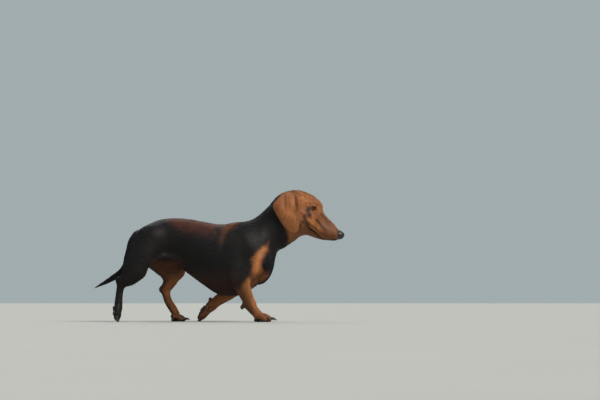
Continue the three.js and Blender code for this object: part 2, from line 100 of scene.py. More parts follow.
PAIRED = [
    ([(227, 11, 264, 9), (218, 20, 269, 9), (202, 27, 271, 9)], 11),
    ([(182, 24, 232, 20.5), (204, 22, 227, 15.5)], 14),
    ([(182, 30, 250, 9), (202, 29, 244, 9.5), (219, 18, 241, 9)], 14),
    ([(226, 12, 215, 11), (244, 10.5, 206, 11), (261, 8, 199.5, 9.5)], 7),
    ([(38, 20, 202, 22, 0.8), (66, 38, 170, 26, 0.8), (88, 42, 140, 24, 0.85)], 18),
    ([(36, 42, 166, 28, 0.7), (30, 54, 124, 23, 0.7), (31, 57, 99, 13, 0.9)], 14),
    ([(-100, 33, 146, 7, 0.7), (-128, 37, 148, 5, 0.7), (-154, 41, 141, 8, 0.7)], 16),
]
LEGS = {
    "front_right": (NEAR, [
        ([(88, 44, 134, 24, 0.9), (60, 54, 112, 23, 0.8), (46, 56, 97, 21, 0.8)], 14),
        ([(45, 56, 98, 21, 0.8), (54, 54, 79, 18.5, 0.78), (63, 50, 58, 15.5, 0.82),
          (70, 47, 41, 13.4, 0.95)], 10),
        ([(70, 47, 41, 13.4, 0.95), (78, 47, 28, 12.5, 1.15), (89, 48, 17, 11, 1.5)], 8),
        ([(57, 47, 38, 7, 0.9), (54, 47, 34, 5.5, 0.9)], 3),
    ]),
    "front_left": (FAR, [
        ([(86, 44, 132, 24, 0.9), (56, 54, 106, 23, 0.8), (36, 54, 84, 20, 0.85)], 14),
        ([(38, 54, 82, 20, 0.8), (16, 51, 64, 16.5, 0.8), (-5, 49, 50, 14, 0.85),
          (-21, 47, 37, 11.8, 0.95)], 10),
        ([(-21, 47, 37, 11.8, 0.95), (-29, 47, 29, 11.3, 1.15), (-36, 47, 22, 10.5, 1.45)], 8),
        ([(-18, 47, 45, 7, 0.9), (-23, 47, 49, 6, 0.9)], 3),
    ]),
    "hind_right": (NEAR, [
        ([(-156, 30, 185, 35, 0.8), (-175, 44, 150, 29, 0.74), (-189, 47, 121, 24, 0.74)], 16),
        ([(-182, 24, 172, 29, 0.9), (-192, 40, 140, 25.5, 0.8), (-200, 45, 114, 20, 0.8),
          (-212, 44, 97, 13, 0.9)], 12),
        ([(-186, 47, 115, 21, 0.78), (-203, 45, 98.5, 17.5, 0.75), (-219, 42, 91, 11.5, 0.9)], 10),
        ([(-220, 42, 92, 9.5, 0.9), (-229, 41, 97, 6.5, 0.9)], 6),
        ([(-222, 42, 90, 10.5, 0.9), (-226.5, 41, 64, 9.3, 0.9), (-228.5, 41, 42, 10.3, 1.15),
          (-229, 41, 30, 10.5, 1.4)], 8),
    ]),
    "hind_left": (FAR, [
        ([(-148, 30, 186, 35, 0.8), (-122, 44, 150, 29, 0.74), (-104, 47, 122, 22, 0.78)], 16),
        ([(-176, 24, 170, 28, 0.9), (-152, 40, 140, 22, 0.8), (-124, 44, 112, 16, 0.8)], 12),
        ([(-107, 46, 117, 21, 0.8), (-118, 45, 93, 16.5, 0.8), (-128, 43, 76, 12, 0.9)], 10),
        ([(-129, 43, 75, 9.5, 0.9), (-137, 42, 75, 6.5, 0.9)], 6),
        ([(-129, 43, 73, 10.5, 0.9), (-122, 42, 48, 10.2, 0.95), (-111, 42, 30, 10.5, 1.15),
          (-104, 42, 18, 10, 1.4)], 8),
    ]),
}

# Paws: the knuckles on the ground line, forward, up and size; then what a paw of size 1 has
PAWS = {
    "front_right": ((93, -48, 0), (1, -0.14, 0), (0, 0, 1), 1),
    "front_left": ((-45, 47, 28.6), (-0.42, 0, -0.91), (0.91, 0, -0.42), 0.96),
    "hind_right": ((-240.4, -41, 23.7), (0.2, -0.2, -0.96), (0.98, 0, 0.2), 0.86),
    "hind_left": ((-104, 42, 0), (1, 0.16, 0), (0, 0, 1), 0.86),
}
TOE_SPREAD = (-16.5, -5.6, 5.6, 16.5)
TOE_SETBACK = (8, 0, 0, 8)
TOE = [(2, 0.7, 14, 8.4), (13, 0.95, 12, 7.6), (21.5, 1, 7, 6.9)]
TOE_PAD = [(13, 1, 3.9, 4), (17, 1, 3.2, 4.3), (21.5, 1, 3.7, 4)]
HEEL_PAD = [(-7, -9, 4.4, 5.2), (-2, -5, 4, 6.2), (3, 0, 4, 6.6), (-2, 5, 4, 6.2), (-7, 9, 4.4, 5.2)]
CLAW = [(24, 1, 8, 2.9), (31, 1.02, 8.1, 2.3), (35, 1.03, 6, 1.4), (37.4, 1.04, 3.4, 0.5)]
DEWCLAW_TOE = [(-14, -17, 26, 5), (-8, -19, 20, 4.6)]
DEWCLAW = [(-7, -19.5, 19, 2.2), (-4, -20, 15.5, 1.7), (-2, -20, 12, 0.5)]
PAD_CELL = 0.0009  # metres
PAD_RISE = 2.0  # how far the pads of a lifted paw stand out of its skin
WRIST_PADS = {"front_right": (52.5, 47, 33.5), "front_left": (-24.5, 47, 51)}
SOLE = 0.4  # lowest height of the skin, so that the pads touch first

# Face, given for the left side
EYE_AT = Vector((211.5, 24.5, 259.2))
EYE_RADIUS = 9.5
EYE_LOOK = Vector((0.5, 0.85, 0.08)).normalized()
EYE_TILT = 0.12
CORNEA_RISE = 0.045  # as a share of the eye's radius
NOSE = [
    ([(266, 0, 201.5, 9.6, 1.12), (273, 0, 200.6, 9.4, 1.15), (279, 0, 199, 7.3, 1.15)], 5),
    ([(268, 0, 194.5, 6, 1.3), (276, 0, 194.8, 5, 1.2)], 5),
]
NOSE_WING = ([(272, 6.6, 198.8, 6), (278.6, 5.9, 198.6, 4.6)], 4)
NOSTRIL = [(284, 4.4, 199), (284, 6.6, 198.9), (283, 8.6, 198)]
NOSTRIL_SLIT = [(282, 9, 197.8), (278.5, 10.8, 196.6), (275, 12.2, 195)]
MOUTH_LINE = [
    (206, 214), (212, 210), (220, 204), (228, 196.5), (236, 190.5), (246, 188), (260, 188.5), (270, 190),
]
EAR_EDGE = [
    (183, 250), (184, 282), (172, 298), (151, 295), (130, 278), (122, 262),
    (133, 238), (148, 215), (164, 201), (178, 204), (182.5, 225),
]
EAR_MIDDLE = (157, 250)
EAR_HANG = [(198, 47), (218, 48.5), (238, 47.5), (258, 44), (276, 38), (288, 26), (295, 15), (300, 10)]
EAR_RIDGES = [(182, 4.2, 4.5), (163, 6, 3.6), (139, 6, 2)]  # x, width and height of each upright roll
EAR_CREASE_SHADE = [(151, 2.2, 0.6), (174.5, 1.8, 0.8)]  # x, width and strength of the painted shade in each fold between them
FOLD_SPAN = (246, 297)


class SkinSettings(bpy.types.PropertyGroup):
    """Depth and fineness of the skin"""

    depth: FloatProperty(
        name="Coat depth", description="How far the skin lies inside the solids",
        default=0.0012, min=0.0, unit="LENGTH",
    )
    voxel: FloatProperty(
        name="Cell", description="Cell size of the body's skin before the head and paws are refined",
        default=0.0027, min=0.001, unit="LENGTH",
    )
    ear_thickness: FloatProperty(
        name="Ear leather", description="Thickness of the ear flaps", default=0.0032, unit="LENGTH",
    )


class CoatSettings(bpy.types.PropertyGroup):
    """Colours and tufts of the coat"""

    dark: FloatVectorProperty(
        name="Dark", description="Flanks, neck and thighs", subtype="COLOR",
        default=(0.0085, 0.0072, 0.0075),
    )
    # Mahogany of the lower flanks, and the painted sheen where a high light falls on the back and withers
    red: FloatVectorProperty(
        name="Mahogany", description="Back and withers", subtype="COLOR",
        default=(0.075, 0.021, 0.011),
    )
    tan: FloatVectorProperty(
        name="Tan", description="Head, ears, chest patches and inner legs", subtype="COLOR",
        default=(0.27, 0.098, 0.034),
    )
    # Also the colour that the painted shade mixes the coat towards
    skin: FloatVectorProperty(
        name="Bare skin", description="Lips, lid rims, pads and nose", subtype="COLOR",
        default=(0.011, 0.008, 0.008),
    )
    tufts: IntProperty(name="Tufts", description="Tufts in each coat piece", default=15000, min=100)
    seed: IntProperty(name="Seed", description="Seed of the coat's random draws", default=7)


class StageSettings(bpy.types.PropertyGroup):
    """Camera and floor"""

    distance: FloatProperty(name="Distance", description="Camera to the dog", default=4.0, unit="LENGTH")
    height: FloatProperty(name="Height", description="Camera over the floor", default=0.044, unit="LENGTH")
    focal: FloatProperty(name="Focal length", description="Lens of a 36 mm sensor", default=104.34)


# Shape tools

def lengths(rows):
    return np.linalg.norm(rows, axis=1)


def ramp(x, low, high):
    """0 at low and 1 at high, smooth between"""
    t = np.clip((x - low) / (high - low), 0, 1)
    return t * t * (3 - 2 * t)


def bell(away, wide):
    """1 at 0, falling to 0 past a width"""
    return np.exp(-(away / wide) ** 2)


def smooth_rows(rows, steps):
    """Catmull-Rom interpolation of rows of numbers"""
    rows = np.array(rows, float)
    last = len(rows) - 1
    out = []
    for i in range(last):
        a, b, c, d = (rows[min(max(n, 0), last)] for n in (i - 1, i, i + 1, i + 2))
        for t in np.arange(steps) / steps:
            out.append(0.5 * (2 * b + (c - a) * t + (2 * a - 5 * b + 4 * c - d) * t**2
                              + (3 * b - a - 3 * c + d) * t**3))
    out.append(rows[last])
    return np.array(out)


class Strand:
    """A tapered run of flesh"""

    def __init__(self, places, soft, side=1, steps=4):
        self.soft = soft
        self.rows = smooth_rows([p if len(p) == 5 else (*p, 1) for p in places], steps)
        self.rows[:, 1] *= side
        self.middle = (self.rows[0, :3] + self.rows[-1, :3]) / 2
        spans = lengths(self.rows[:, :3] - self.middle)
        self.size = (spans + self.rows[:, 3] * np.maximum(self.rows[:, 4], 1)).max()

    def distance(self, points):
        best = np.full(len(points), np.inf)
        for a, b in zip(self.rows[:-1], self.rows[1:]):
            way = b[:3] - a[:3]
            t = np.clip(((points - a[:3]) @ way) / (way @ way), 0, 1)
            off = points - a[:3] - t[:, None] * way
            off[:, 1] /= a[4] + t * (b[4] - a[4])
            best = np.minimum(best, np.sqrt((off * off).sum(1)) - a[3] - t * (b[3] - a[3]))
        return best


def joined(points, strands, d=None):
    """Distances from strands joined softly to each other and to distances d"""
    d = np.full(len(points), 1e3) if d is None else d
    for s in strands:
        close = lengths(points - s.middle) - s.size < d + s.soft
        if close.any():
            a, b = d[close], s.distance(points[close])
            h = np.maximum(s.soft - abs(a - b), 0) / s.soft
            d[close] = np.minimum(a, b) - h * h * s.soft / 4
    return d


TRUNK_ROWS = smooth_rows(TRUNK, 6)


def trunk(points):
    x = np.clip(points[:, 0], TRUNK[0][0], TRUNK[-1][0])
    back, belly, half = (np.interp(x, TRUNK_ROWS[:, 0], TRUNK_ROWS[:, k]) for k in (1, 2, 3))
    height = (back - belly) / 2
    up = (points[:, 2] - (back + belly) / 2) / height
    depth = np.where(points[:, 0] < x, RUMP_DEPTH, FORECHEST_DEPTH)
    width = half * (1 + RIB_FLARE * np.clip(up, -1, 1))
    length = np.sqrt(up**2 + (points[:, 1] / width) ** 2 + ((points[:, 0] - x) / depth) ** 2)
    return (length - 1) * np.minimum(height, half)


def paw_frame(name):
    """Turns a paw's own forward, sideways and up lengths into the part's frame"""
    at, forward, up, size = PAWS[name]
    f = Vector(forward).normalized()
    u = (Vector(up) - f * f.dot(Vector(up))).normalized()
    s = u.cross(f)

    def place(ahead, aside, above, radius):
        return (*(Vector(at) + (f * ahead + s * aside + u * above) * size), radius * size)
    return place


def toe_places(name, rows, k):
    place = paw_frame(name)
    return [place(a - TOE_SETBACK[k], w * TOE_SPREAD[k], u, r) for a, w, u, r in rows]


def inner_places(name, rows):
    place = paw_frame(name)
    return [place(a, LEGS[name][0] * w, u, r) for a, w, u, r in rows]


TOE_SOFT = 3
GROIN_FILL = [(-106, 26, 150, 14), (-118, 28, 154, 15), (-130, 29, 158, 16), (-142, 30, 158, 17)]
ALL_STRANDS = (
    [Strand(*s, side) for side in SIDES for s in PAIRED]
    + [Strand(*s) for s in MIDDLE]
    + [Strand(*s, side) for side, strands in LEGS.values() for s in strands]
    + [Strand(toe_places(name, TOE, k), TOE_SOFT) for name in PAWS for k in range(4)]
    + [Strand(inner_places(name, DEWCLAW_TOE), TOE_SOFT) for name in PAWS if name.startswith("front")]
)


def flesh(points):
    return joined(points, ALL_STRANDS, trunk(points))


def slope(field, points, at):
    step = 0.3
    return np.stack([(field(points + step * way) - at) / step for way in np.eye(3)], axis=1)


def settle(points, field, level, rounds=3):
    """Points moved down the field's slope to a level"""
    points = points.copy()
    for _ in range(rounds):
        at = field(points)
        way = slope(field, points, at)
        gap = np.clip(at - level, -4, 4)
        points -= (gap / np.maximum((way * way).sum(1), 0.05))[:, None] * way
    return points


def side_at(x, z):
    """Half width of the head and neck at places of the middle plane"""
    near, far = np.zeros(len(x)), np.full(len(x), 80.0)
    inside = flesh(np.stack([x, near, z], 1)) < 0
    for _ in range(14):
        middle = (near + far) / 2
        within = flesh(np.stack([x, middle, z], 1)) < 0
        near, far = np.where(within, middle, near), np.where(within, far, middle)
    return np.where(inside, near, 0)


def mirrored(place, side):
    """A place or way of the left side, on either side"""
    return np.array(place) * (1, side, 1)


def near_line(points, line, reach, side=1):
    """1 on a line of places, falling to 0 away from it"""
    return bell(Strand([(*p, 0) for p in line], 0, side).distance(points), reach)


def near_profile(points, line, reach, lower=0.0):
    """As near_line, seen from the side, for a line of x and z that is moved down"""
    return near_line(points * (1, 0, 1), [(x, 0, z - lower) for x, z in line], reach)


def grain(points, size, seed=0.0):
    """Smooth noise of about -1 to 1 at each point"""
    shift = Vector((seed * 7.3, seed * 3.1, seed * 5.7))
    return np.array([noise.noise(Vector(p) / size + shift) for p in points])


def read(items, key, width=1, kind=float):
    """One value, or a row of values, of each vertex, triangle or corner"""
    values = np.empty(len(items) * width, kind)
    items.foreach_get(key, values)
    return values.reshape(-1, width) if width > 1 else values


def coords(obj):
    return read(obj.data.vertices, "co", 3) / MM


def set_coords(obj, points):
    obj.data.vertices.foreach_set("co", (points * MM).ravel())
    obj.data.update()


def normals(obj):
    return read(obj.data.vertices, "normal", 3)


def placed(name, data):
    obj = bpy.data.objects.new(name, data)
    bpy.context.scene.collection.objects.link(obj)
    return obj


def put_in_order(bm):
    """Sorts edges and faces by their corners, because a sphere's come in another order in each run"""
    bm.verts.index_update()

    def rank(part):
        place = 0
        for corner in sorted(v.index for v in part.verts):
            place = place * len(bm.verts) + corner
        return place
    bm.edges.sort(key=rank)
    bm.faces.sort(key=rank)


def new_object(name, bm, material=None, smooth=True):
    put_in_order(bm)
    mesh = bpy.data.meshes.new(name)
    bm.to_mesh(mesh)
    bm.free()
    if smooth:
        mesh.shade_smooth()
    if material:
        mesh.materials.append(material)
    return placed(name, mesh)


def apply_modifiers(obj):
    graph = bpy.context.evaluated_depsgraph_get()
    mesh = bpy.data.meshes.new_from_object(obj.evaluated_get(graph))
    obj.modifiers.clear()
    old, obj.data = obj.data, mesh
    bpy.data.meshes.remove(old)
    return obj


def remesh(obj, cell):
    m = obj.modifiers.new("remesh", "REMESH")
    m.mode = "VOXEL"
    m.voxel_size = cell
    return apply_modifiers(obj)


def ball(bm, centre, radius, detail=2, stretch=(1, 1, 1)):
    size = Matrix.Diagonal((*(radius * s * MM for s in stretch), 1))
    return bmesh.ops.create_icosphere(
        bm, subdivisions=detail, radius=1, matrix=Matrix.Translation(Vector(centre) * MM) @ size,
    )["verts"]


def sleeve(bm, rows, around=10, rings=12):
    """A closed tapered form along places (x, y, z, radius), bent from a sphere"""
    rows = smooth_rows(rows, 6)
    steps = np.linspace(0, 1, len(rows))
    made = bmesh.ops.create_uvsphere(bm, u_segments=around, v_segments=rings, radius=1)["verts"]
    for v in made:
        t = (v.co.z + 1) / 2
        here, ahead, behind = (
            Vector([np.interp(share, steps, rows[:, k]) for k in range(3)])
            for share in (t, min(t + 0.02, 1), max(t - 0.02, 0)))
        along = (ahead - behind).normalized()
        side = along.cross(Vector((0.02, 0.1, 1))).normalized()
        top = side.cross(along)
        r = np.interp(t, steps, rows[:, 3])
        flat = v.co.xy.normalized() if v.co.xy.length > 1e-6 else Vector((0, 0))
        round_end = min(1.0, (1 - abs(v.co.z)) * 6) ** 0.5
        v.co = (here + (side * flat.x + top * flat.y) * r * round_end) * MM
    return made


def ride(obj, slot, *replaced):
    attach(obj, "root")
    if replaced:
        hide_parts(*replaced)


# Materials

class Socket:
    """A node's output that takes arithmetic"""

    def __init__(self, nodes, out):
        self.nodes, self.out = nodes, out

    def _math(self, operation, *values):
        return self.nodes.make("Math", {"operation": operation}, *values)

    def __add__(self, other):
        return self._math("ADD", self, other)

    def __sub__(self, other):
        return self._math("SUBTRACT", self, other)

    def __rsub__(self, other):
        return self._math("SUBTRACT", other, self)

    def __mul__(self, other):
        return self._math("MULTIPLY", self, other)

    __radd__, __rmul__ = __add__, __mul__


class Finish:
    """A procedural material with one principled shader"""

    def __init__(self, name, **fixed):
        self.material = bpy.data.materials.new(name)
        self.material.use_nodes = True
        self.tree = self.material.node_tree
        self.shader = self.tree.nodes["Principled BSDF"]
        for key, value in fixed.items():
            self.shader.inputs[self.label(key)].default_value = value

    def label(self, key):
        return key.replace("_", " ").title().replace("Ior", "IOR")

    def make(self, kind, settings, *values, out=0, **named):
        """A node with its settings, then its sockets in order or by name; None leaves one as it is"""
        node = self.tree.nodes.new("ShaderNode" + kind)
        for key, value in settings.items():
            setattr(node, key, value)
        for key, value in [*enumerate(values), *named.items()]:
            socket = node.inputs[key]
            if isinstance(value, Socket):
                self.tree.links.new(value.out, socket)
            elif value is not None:
                socket.default_value = (*value, 1) if socket.type == "RGBA" else value
        return Socket(self, node.outputs[out])

    def place(self):
        """Object coordinates in metres"""
        return self.make("TexCoord", {}, out="Object")

    def stretched(self, scale, turn=0):
        """Object coordinates scaled, and turned about the sideways axis"""
        return self.make("Mapping", {}, Vector=self.place(), Scale=scale, Rotation=(0, turn, 0))

    def noise(self, where, scale, detail=2.0, rough=0.5):
        return self.make("TexNoise", {}, Vector=where, Scale=scale, Detail=detail, Roughness=rough)

    def mark(self, name):
        return self.make("Attribute", {"attribute_name": name}, out="Fac")

    def range(self, value, low, high, to_low=0.0, to_high=1.0):
        settings = {"interpolation_type": "SMOOTHSTEP", "clamp": True}
        return self.make("MapRange", settings, value, low, high, to_low, to_high)

    def mix(self, factor, a, b, blend="MIX"):
        """Colours mixed: sockets 6 and 7 of the node take them and output 2 gives the result"""
        settings = {"data_type": "RGBA", "blend_type": blend}
        return self.make("Mix", settings, factor, *[None] * 5, a, b, out=2)

    def bump(self, height, strength, distance):
        return self.make("Bump", {}, Strength=strength, Distance=distance, Height=height)

    def feed(self, **sockets):
        for key, value in sockets.items():
            self.tree.links.new(value.out, self.shader.inputs[self.label(key)])
        return self.material


ALONG_HAIR, ACROSS_HAIR = 60, 420  # scale of the streaks' noise, per metre
NECK_SLANT = math.radians(-42)


def hair_streaks(f):
    """Fine streaks along the lie of the coat: along the trunk, the neck and head, and the legs"""
    level, upright_way = (ALONG_HAIR, ACROSS_HAIR, ACROSS_HAIR), (ACROSS_HAIR, ACROSS_HAIR, ALONG_HAIR)
    trunk_way, neck_way, leg_way = (
        f.noise(f.stretched(*way), 1.0, 3.0, 0.6) for way in ((level,), (level, NECK_SLANT), (upright_way,)))
    neck, leg = f.mark("neck_way"), f.mark("leg_way")
    return trunk_way * (1 - neck) * (1 - leg) + neck_way * neck + leg_way * leg * (1 - neck)


def times(share, colour):
    return [share * c for c in colour]


def coat_finish():
    s = bpy.context.scene.dog_coat
    f = Finish("coat", specular_ior_level=0.16)
    streaks = hair_streaks(f)
    blotches = f.noise(f.place(), 26.0, 3.0, 0.55)
    flecks = f.noise(f.place(), 700.0, 2.0, 0.6)
    # Dark coat mixed towards mahogany: mahogany hair low on the flanks, and painted sheen on the back and
    # withers
    colour = f.mix(f.mark("red"), s.dark, s.red)
    colour = f.mix(f.mark("tan"), colour, s.tan)
    # Paler hair in places, and painted highlight where the light from the front falls
    colour = f.mix(f.mark("pale") * 0.85, colour, times(2.1, s.tan))
    ginger = f.mix(f.mark("tan"), times(2.2, s.dark), times(1.5, s.tan))
    colour = f.mix(f.range(streaks, 0.5, 0.72) * 0.5, colour, ginger)
    colour = f.mix(f.range(blotches, 0.5, 0.75) * f.mark("tan") * 0.3, colour, times(0.5, s.tan))
    # Mixed towards the bare skin colour: dark lips, lid rims and nipples, dark hair, and painted shade in
    # the face's hollows, under the jaw and in the ear's folds
    shaded = f.mix(f.mark("shade"), colour, s.skin)
    lively = f.mix(f.range(streaks, 0.52, 0.3) * 0.5, shaded, (0.5, 0.42, 0.38), "MULTIPLY")
    rough = f.range(streaks, 0.3, 0.7, 0.44, 0.64) - f.mark("bare") * 0.06
    height = streaks + flecks * 0.35
    return f.feed(base_color=lively, roughness=rough, normal=f.bump(height, 0.3, 0.001))


def leather_finish():
    s = bpy.context.scene.dog_coat
    f = Finish("leather", ior=1.5)
    grain_cells = f.make("TexVoronoi", {}, Vector=f.place(), Scale=1500.0)
    dust = f.noise(f.place(), 160.0, 3.0)
    colour = f.mix(f.range(dust, 0.45, 0.7) * 0.4, s.skin, (0.05, 0.04, 0.036))
    rough = f.range(dust, 0.35, 0.7, 0.36, 0.6)
    return f.feed(base_color=colour, roughness=rough, normal=f.bump(grain_cells, 0.35, 0.0003))


def horn_finish():
    f = Finish("horn", ior=1.54)
    rings = f.noise(f.stretched((300, 300, 900)), 1.0, 3.0)
    colour = f.mix(rings, (0.012, 0.009, 0.008), (0.06, 0.04, 0.03))
    return f.feed(base_color=colour, roughness=f.range(rings, 0.3, 0.7, 0.28, 0.45),
                  normal=f.bump(rings, 0.15, 0.0004))


PUPIL = 0.0018  # its radius in metres


def eye_finish(side):
    """Pupil, brown iris and dark white by the distance from the front of the eye"""
    name = "right" if side < 0 else "left"
    f = Finish(f"eye_{name}", specular_ior_level=0.1, coat_weight=0.45, coat_roughness=0.03)
    front = mirrored(EYE_AT + EYE_LOOK * EYE_RADIUS, side) * MM
    away = f.make("VectorMath", {"operation": "DISTANCE"}, f.place(), front, out="Value")
    rays = f.noise(f.stretched((700, 700, 700)), 1.0, 4.0, 0.7)
    colour = (0.001, 0.001, 0.001)
    iris = f.mix(rays, (0.022, 0.008, 0.003), (0.085, 0.03, 0.01))
    rim, white = (0.006, 0.004, 0.0035), (0.05, 0.03, 0.022)
    for low, high, ring in ((PUPIL, 0.0023, iris), (0.0050, 0.0058, rim), (0.0060, 0.0070, white)):
        colour = f.mix(f.range(away, low, high), colour, ring)
    return f.feed(base_color=colour, roughness=f.range(away, 0.003, 0.008, 0.08, 0.2))


def floor_finish():
    f = Finish("floor", roughness=0.75)
    tone = f.noise(f.place(), 3.0, 4.0)
    colour = f.mix(tone, (0.44, 0.44, 0.41), (0.49, 0.49, 0.465))
    return f.feed(base_color=colour, roughness=f.range(tone, 0.2, 0.8, 0.7, 0.85))


# Skin

def rough_body():
    """Balls along every strand and sections along the trunk"""
    bm = bmesh.new()
    for x, back, belly, half in TRUNK_ROWS[::2]:
        ball(bm, (x, 0, (back + belly) / 2), 1, 3, (24, half - 1, (back - belly) / 2 - 1))
    for strand in ALL_STRANDS:
        for x, y, z, r, w in strand.rows[::1 if strand.rows[:, 3].min() < 4 else 2]:
            ball(bm, (x, y, z), max(r - 0.5, 3.4), stretch=(1, w, 1))
    for *at, r in GROIN_FILL:
        for side in SIDES:
            ball(bm, mirrored(at, side), r)
    return new_object("skin", bm)


def edit(obj, wanted, change):
    """Opens a mesh to change it with the corners where wanted(points) is true"""
    keep = wanted(coords(obj))
    bm = bmesh.new()
    bm.from_mesh(obj.data)
    change(bm, [v for v in bm.verts if keep[v.index]])
    bm.to_mesh(obj.data)
    bm.free()


def refine(obj, wanted):
    def split(bm, verts):
        chosen = set(verts)
        edges = [e for e in bm.edges if chosen.issuperset(e.verts)]
        bmesh.ops.subdivide_edges(bm, edges=edges, cuts=1, use_grid_fill=True)
    edit(obj, wanted, split)


def soften(obj, wanted, rounds=1):
    def even(bm, verts):
        for _ in range(rounds):
            bmesh.ops.smooth_vert(
                bm, verts=verts, factor=0.5, use_axis_x=True, use_axis_y=True, use_axis_z=True)
    edit(obj, wanted, even)


def lay_down(obj, field, level):
    set_coords(obj, settle(coords(obj), field, level, 2))


def relax(obj, field, level, rounds):
    """Evens the whole mesh out and lays it back on the field"""
    for _ in range(rounds):
        soften(obj, lambda points: np.ones(len(points), bool))
        lay_down(obj, field, level)


def eye_axes():
    """Rows ahead, along the lids and up, for the left eye"""
    corners = Vector((0, 0, 1)).cross(EYE_LOOK).normalized()
    corners = Matrix.Rotation(EYE_TILT, 3, EYE_LOOK) @ corners
    return np.array([EYE_LOOK, corners, EYE_LOOK.cross(corners)])


def from_eye(points, side):
    return points * (1, side, 1) - np.array(EYE_AT)


def by_eye(points, reach):
    return np.min([lengths(from_eye(points, side)) for side in SIDES], axis=0) < reach


LID = 1.3  # thickness of the lids
SOCKET_DEPTH = 1.6  # how far behind the ball's front the skin closes in the opening
OPEN_LONG = 0.6  # half length of the opening, as an angle at the eye's middle
OPEN_UP, OPEN_DOWN = 0.27, 0.25
LID_REACH = 15.5  # how far from the eye's middle the lids shape the skin


def shape_lids(points):
    """Skin round each eye laid over the ball, with an almond opening and a rolled rim"""
    points = points.copy()
    axes = eye_axes()
    for side in SIDES:
        local = from_eye(points, side) @ axes.T
        r = lengths(local)
        near = (r < LID_REACH + 4) & (local[:, 0] > -0.1 * r)
        p, d = local[near], r[near]
        across = np.arctan2(p[:, 1], p[:, 0])
        up = np.arcsin(np.clip(p[:, 2] / d, -1, 1))
        along = across / OPEN_LONG
        arch = np.clip(1 - along**2, 0, None) ** 0.8
        limit = np.where(up > 0, OPEN_UP * (1 - 0.15 * along), OPEN_DOWN * (1 + 0.15 * along)) * arch
        past = (abs(up) - limit) * EYE_RADIUS  # millimetres outside the opening's rim
        past = np.where(abs(along) > 1, np.maximum(past, (abs(along) - 1) * OPEN_LONG * EYE_RADIUS), past)
        rim = 0.45 * bell(past - 0.9, 0.8)
        crease = -0.55 * bell(past - 3.4, 0.9) * (up > 0)
        bag = -0.4 * bell(past - 3.6, 1.1) * (up < 0)
        cover = EYE_RADIUS + LID + rim + crease + bag
        lid = cover + (d - cover) * ramp(past, 2.0, 7.5)
        inside = EYE_RADIUS - SOCKET_DEPTH
        target = inside + (lid - inside) * ramp(past, -0.5, 0.35)
        new = d + (target - d) * ramp(past, 9.5, 5.0)
        points[near] = mirrored(p * (new / d)[:, None] @ axes + np.array(EYE_AT), side)
    return points


def mouth_line():
    """The line between the lips on the left cheek"""
    x, z = np.array(MOUTH_LINE, float).T
    return np.stack([x, side_at(x, z), z], 1)


# Creases and swellings of the skin: places on the left side, reach and height in millimetres
CREASES = [
    # Neck, shoulder and flank
    ([(118, 36, 176), (104, 47, 158), (96, 50, 140)], 4.5, -0.9),
    ([(150, 36, 206), (160, 32, 200), (170, 26, 197)], 4, -1.0),
    ([(142, 38, 232), (134, 40, 214), (130, 38, 196)], 6, -0.8),
    ([(60, 54, 190), (68, 58, 172), (78, 58, 154)], 8, 0.9),
    ([(30, 26, 224), (20, 42, 210), (11, 54, 190), (8, 60, 170)], 5, -1.1),
    ([(40, 26, 224), (30, 44, 208), (22, 56, 188)], 6, 0.9),
    ([(20, 66, 128), (16, 68, 108), (22, 64, 92)], 5, -1.6),
    ([(-212, 48, 108), (-220, 46, 100), (-228, 42, 98)], 3, 0.6),
    # Brow, temple, cheek bone and cheek
    ([(228, 13, 271), (219, 21, 273), (206, 28, 270)], 3.6, 1.2),
    ([(228, 0, 270), (214, 0, 282), (198, 0, 291)], 4, -1.0),
    ([(202, 33, 262), (196, 36, 256), (197, 37, 249)], 4.5, -1.5),
    ([(220, 18, 256), (228, 14, 250), (233, 12, 243)], 2.4, -1.1),
    ([(203, 35, 250), (212, 31, 246.5), (223, 24, 246)], 3.2, -1.3),
    ([(184, 42, 250), (198, 39, 245), (212, 33, 240), (222, 26, 236)], 4.0, 1.2),
    ([(182, 42, 234), (188, 40, 228)], 9, 1.2),
    ([(196, 38, 226), (204, 34, 220), (209, 31, 214)], 3.5, -1.2),
    # Muzzle, flews and chin
    ([(228, 20, 240), (240, 16, 228), (252, 13, 217)], 4, -1.1),
    ([(222, 24, 215), (233, 19, 205), (247, 15.5, 199), (261, 11, 198)], 4.2, 1.3),
    ([(236, 0, 238), (252, 0, 224), (264, 0, 214)], 5, -0.5),
    ([(218, 24, 203), (230, 17, 193), (246, 13, 185)], 3, 0.7),
]
NIPPLES = [(-25, 27, 73), (-58, 25, 98), (-92, 22, 124), (10, 26, 60)]
WHISKER_ROWS = [(226, 214, 6), (229, 208, 5), (236, 203, 4)]  # first x, z and number


def by_nipples(points, reach):
    return sum(bell(lengths(points - mirrored(at, side)), reach) for at in NIPPLES for side in SIDES)


def sculpt(points, out):
    """Creases, the mouth, ribs, whisker spots and nipples as heights over the skin"""
    height = np.zeros(len(points))
    for line, reach, rise in CREASES:
        for side in SIDES:
            height += rise * near_line(points, line, reach, side)
    height -= 3.0 * near_profile(points, MOUTH_LINE, 1.15, 0.5)
    height += 1.3 * near_profile(points, MOUTH_LINE, 1.9, -2.8)
    x, y, z = points.T
    ribs = np.sin((x * 0.9 - z * 0.35) / 3.6) * ramp(abs(y), 40, 58)
    ribs *= ramp(x, -75, -45) * ramp(x, 25, 0) * ramp(z, 85, 115) * ramp(z, 195, 165)
    height += 0.28 * ribs
    height += 2.2 * by_nipples(points, 2.4)
    for first, level, number in WHISKER_ROWS:
        for k in range(number):
            away = np.hypot(x - first - 5.2 * k, z - level + 2.4 * k)
            height += 0.35 * bell(away, 0.9) * (abs(y) > 6)
    height -= 2.4 * ramp(x, 271, 276)
    return points + out * height[:, None]


def upright(z):
    """How far the ear's rolls show at each height"""
    low, high = FOLD_SPAN
    return ramp(z, low, low + 22) * ramp(z, high, high - 12)


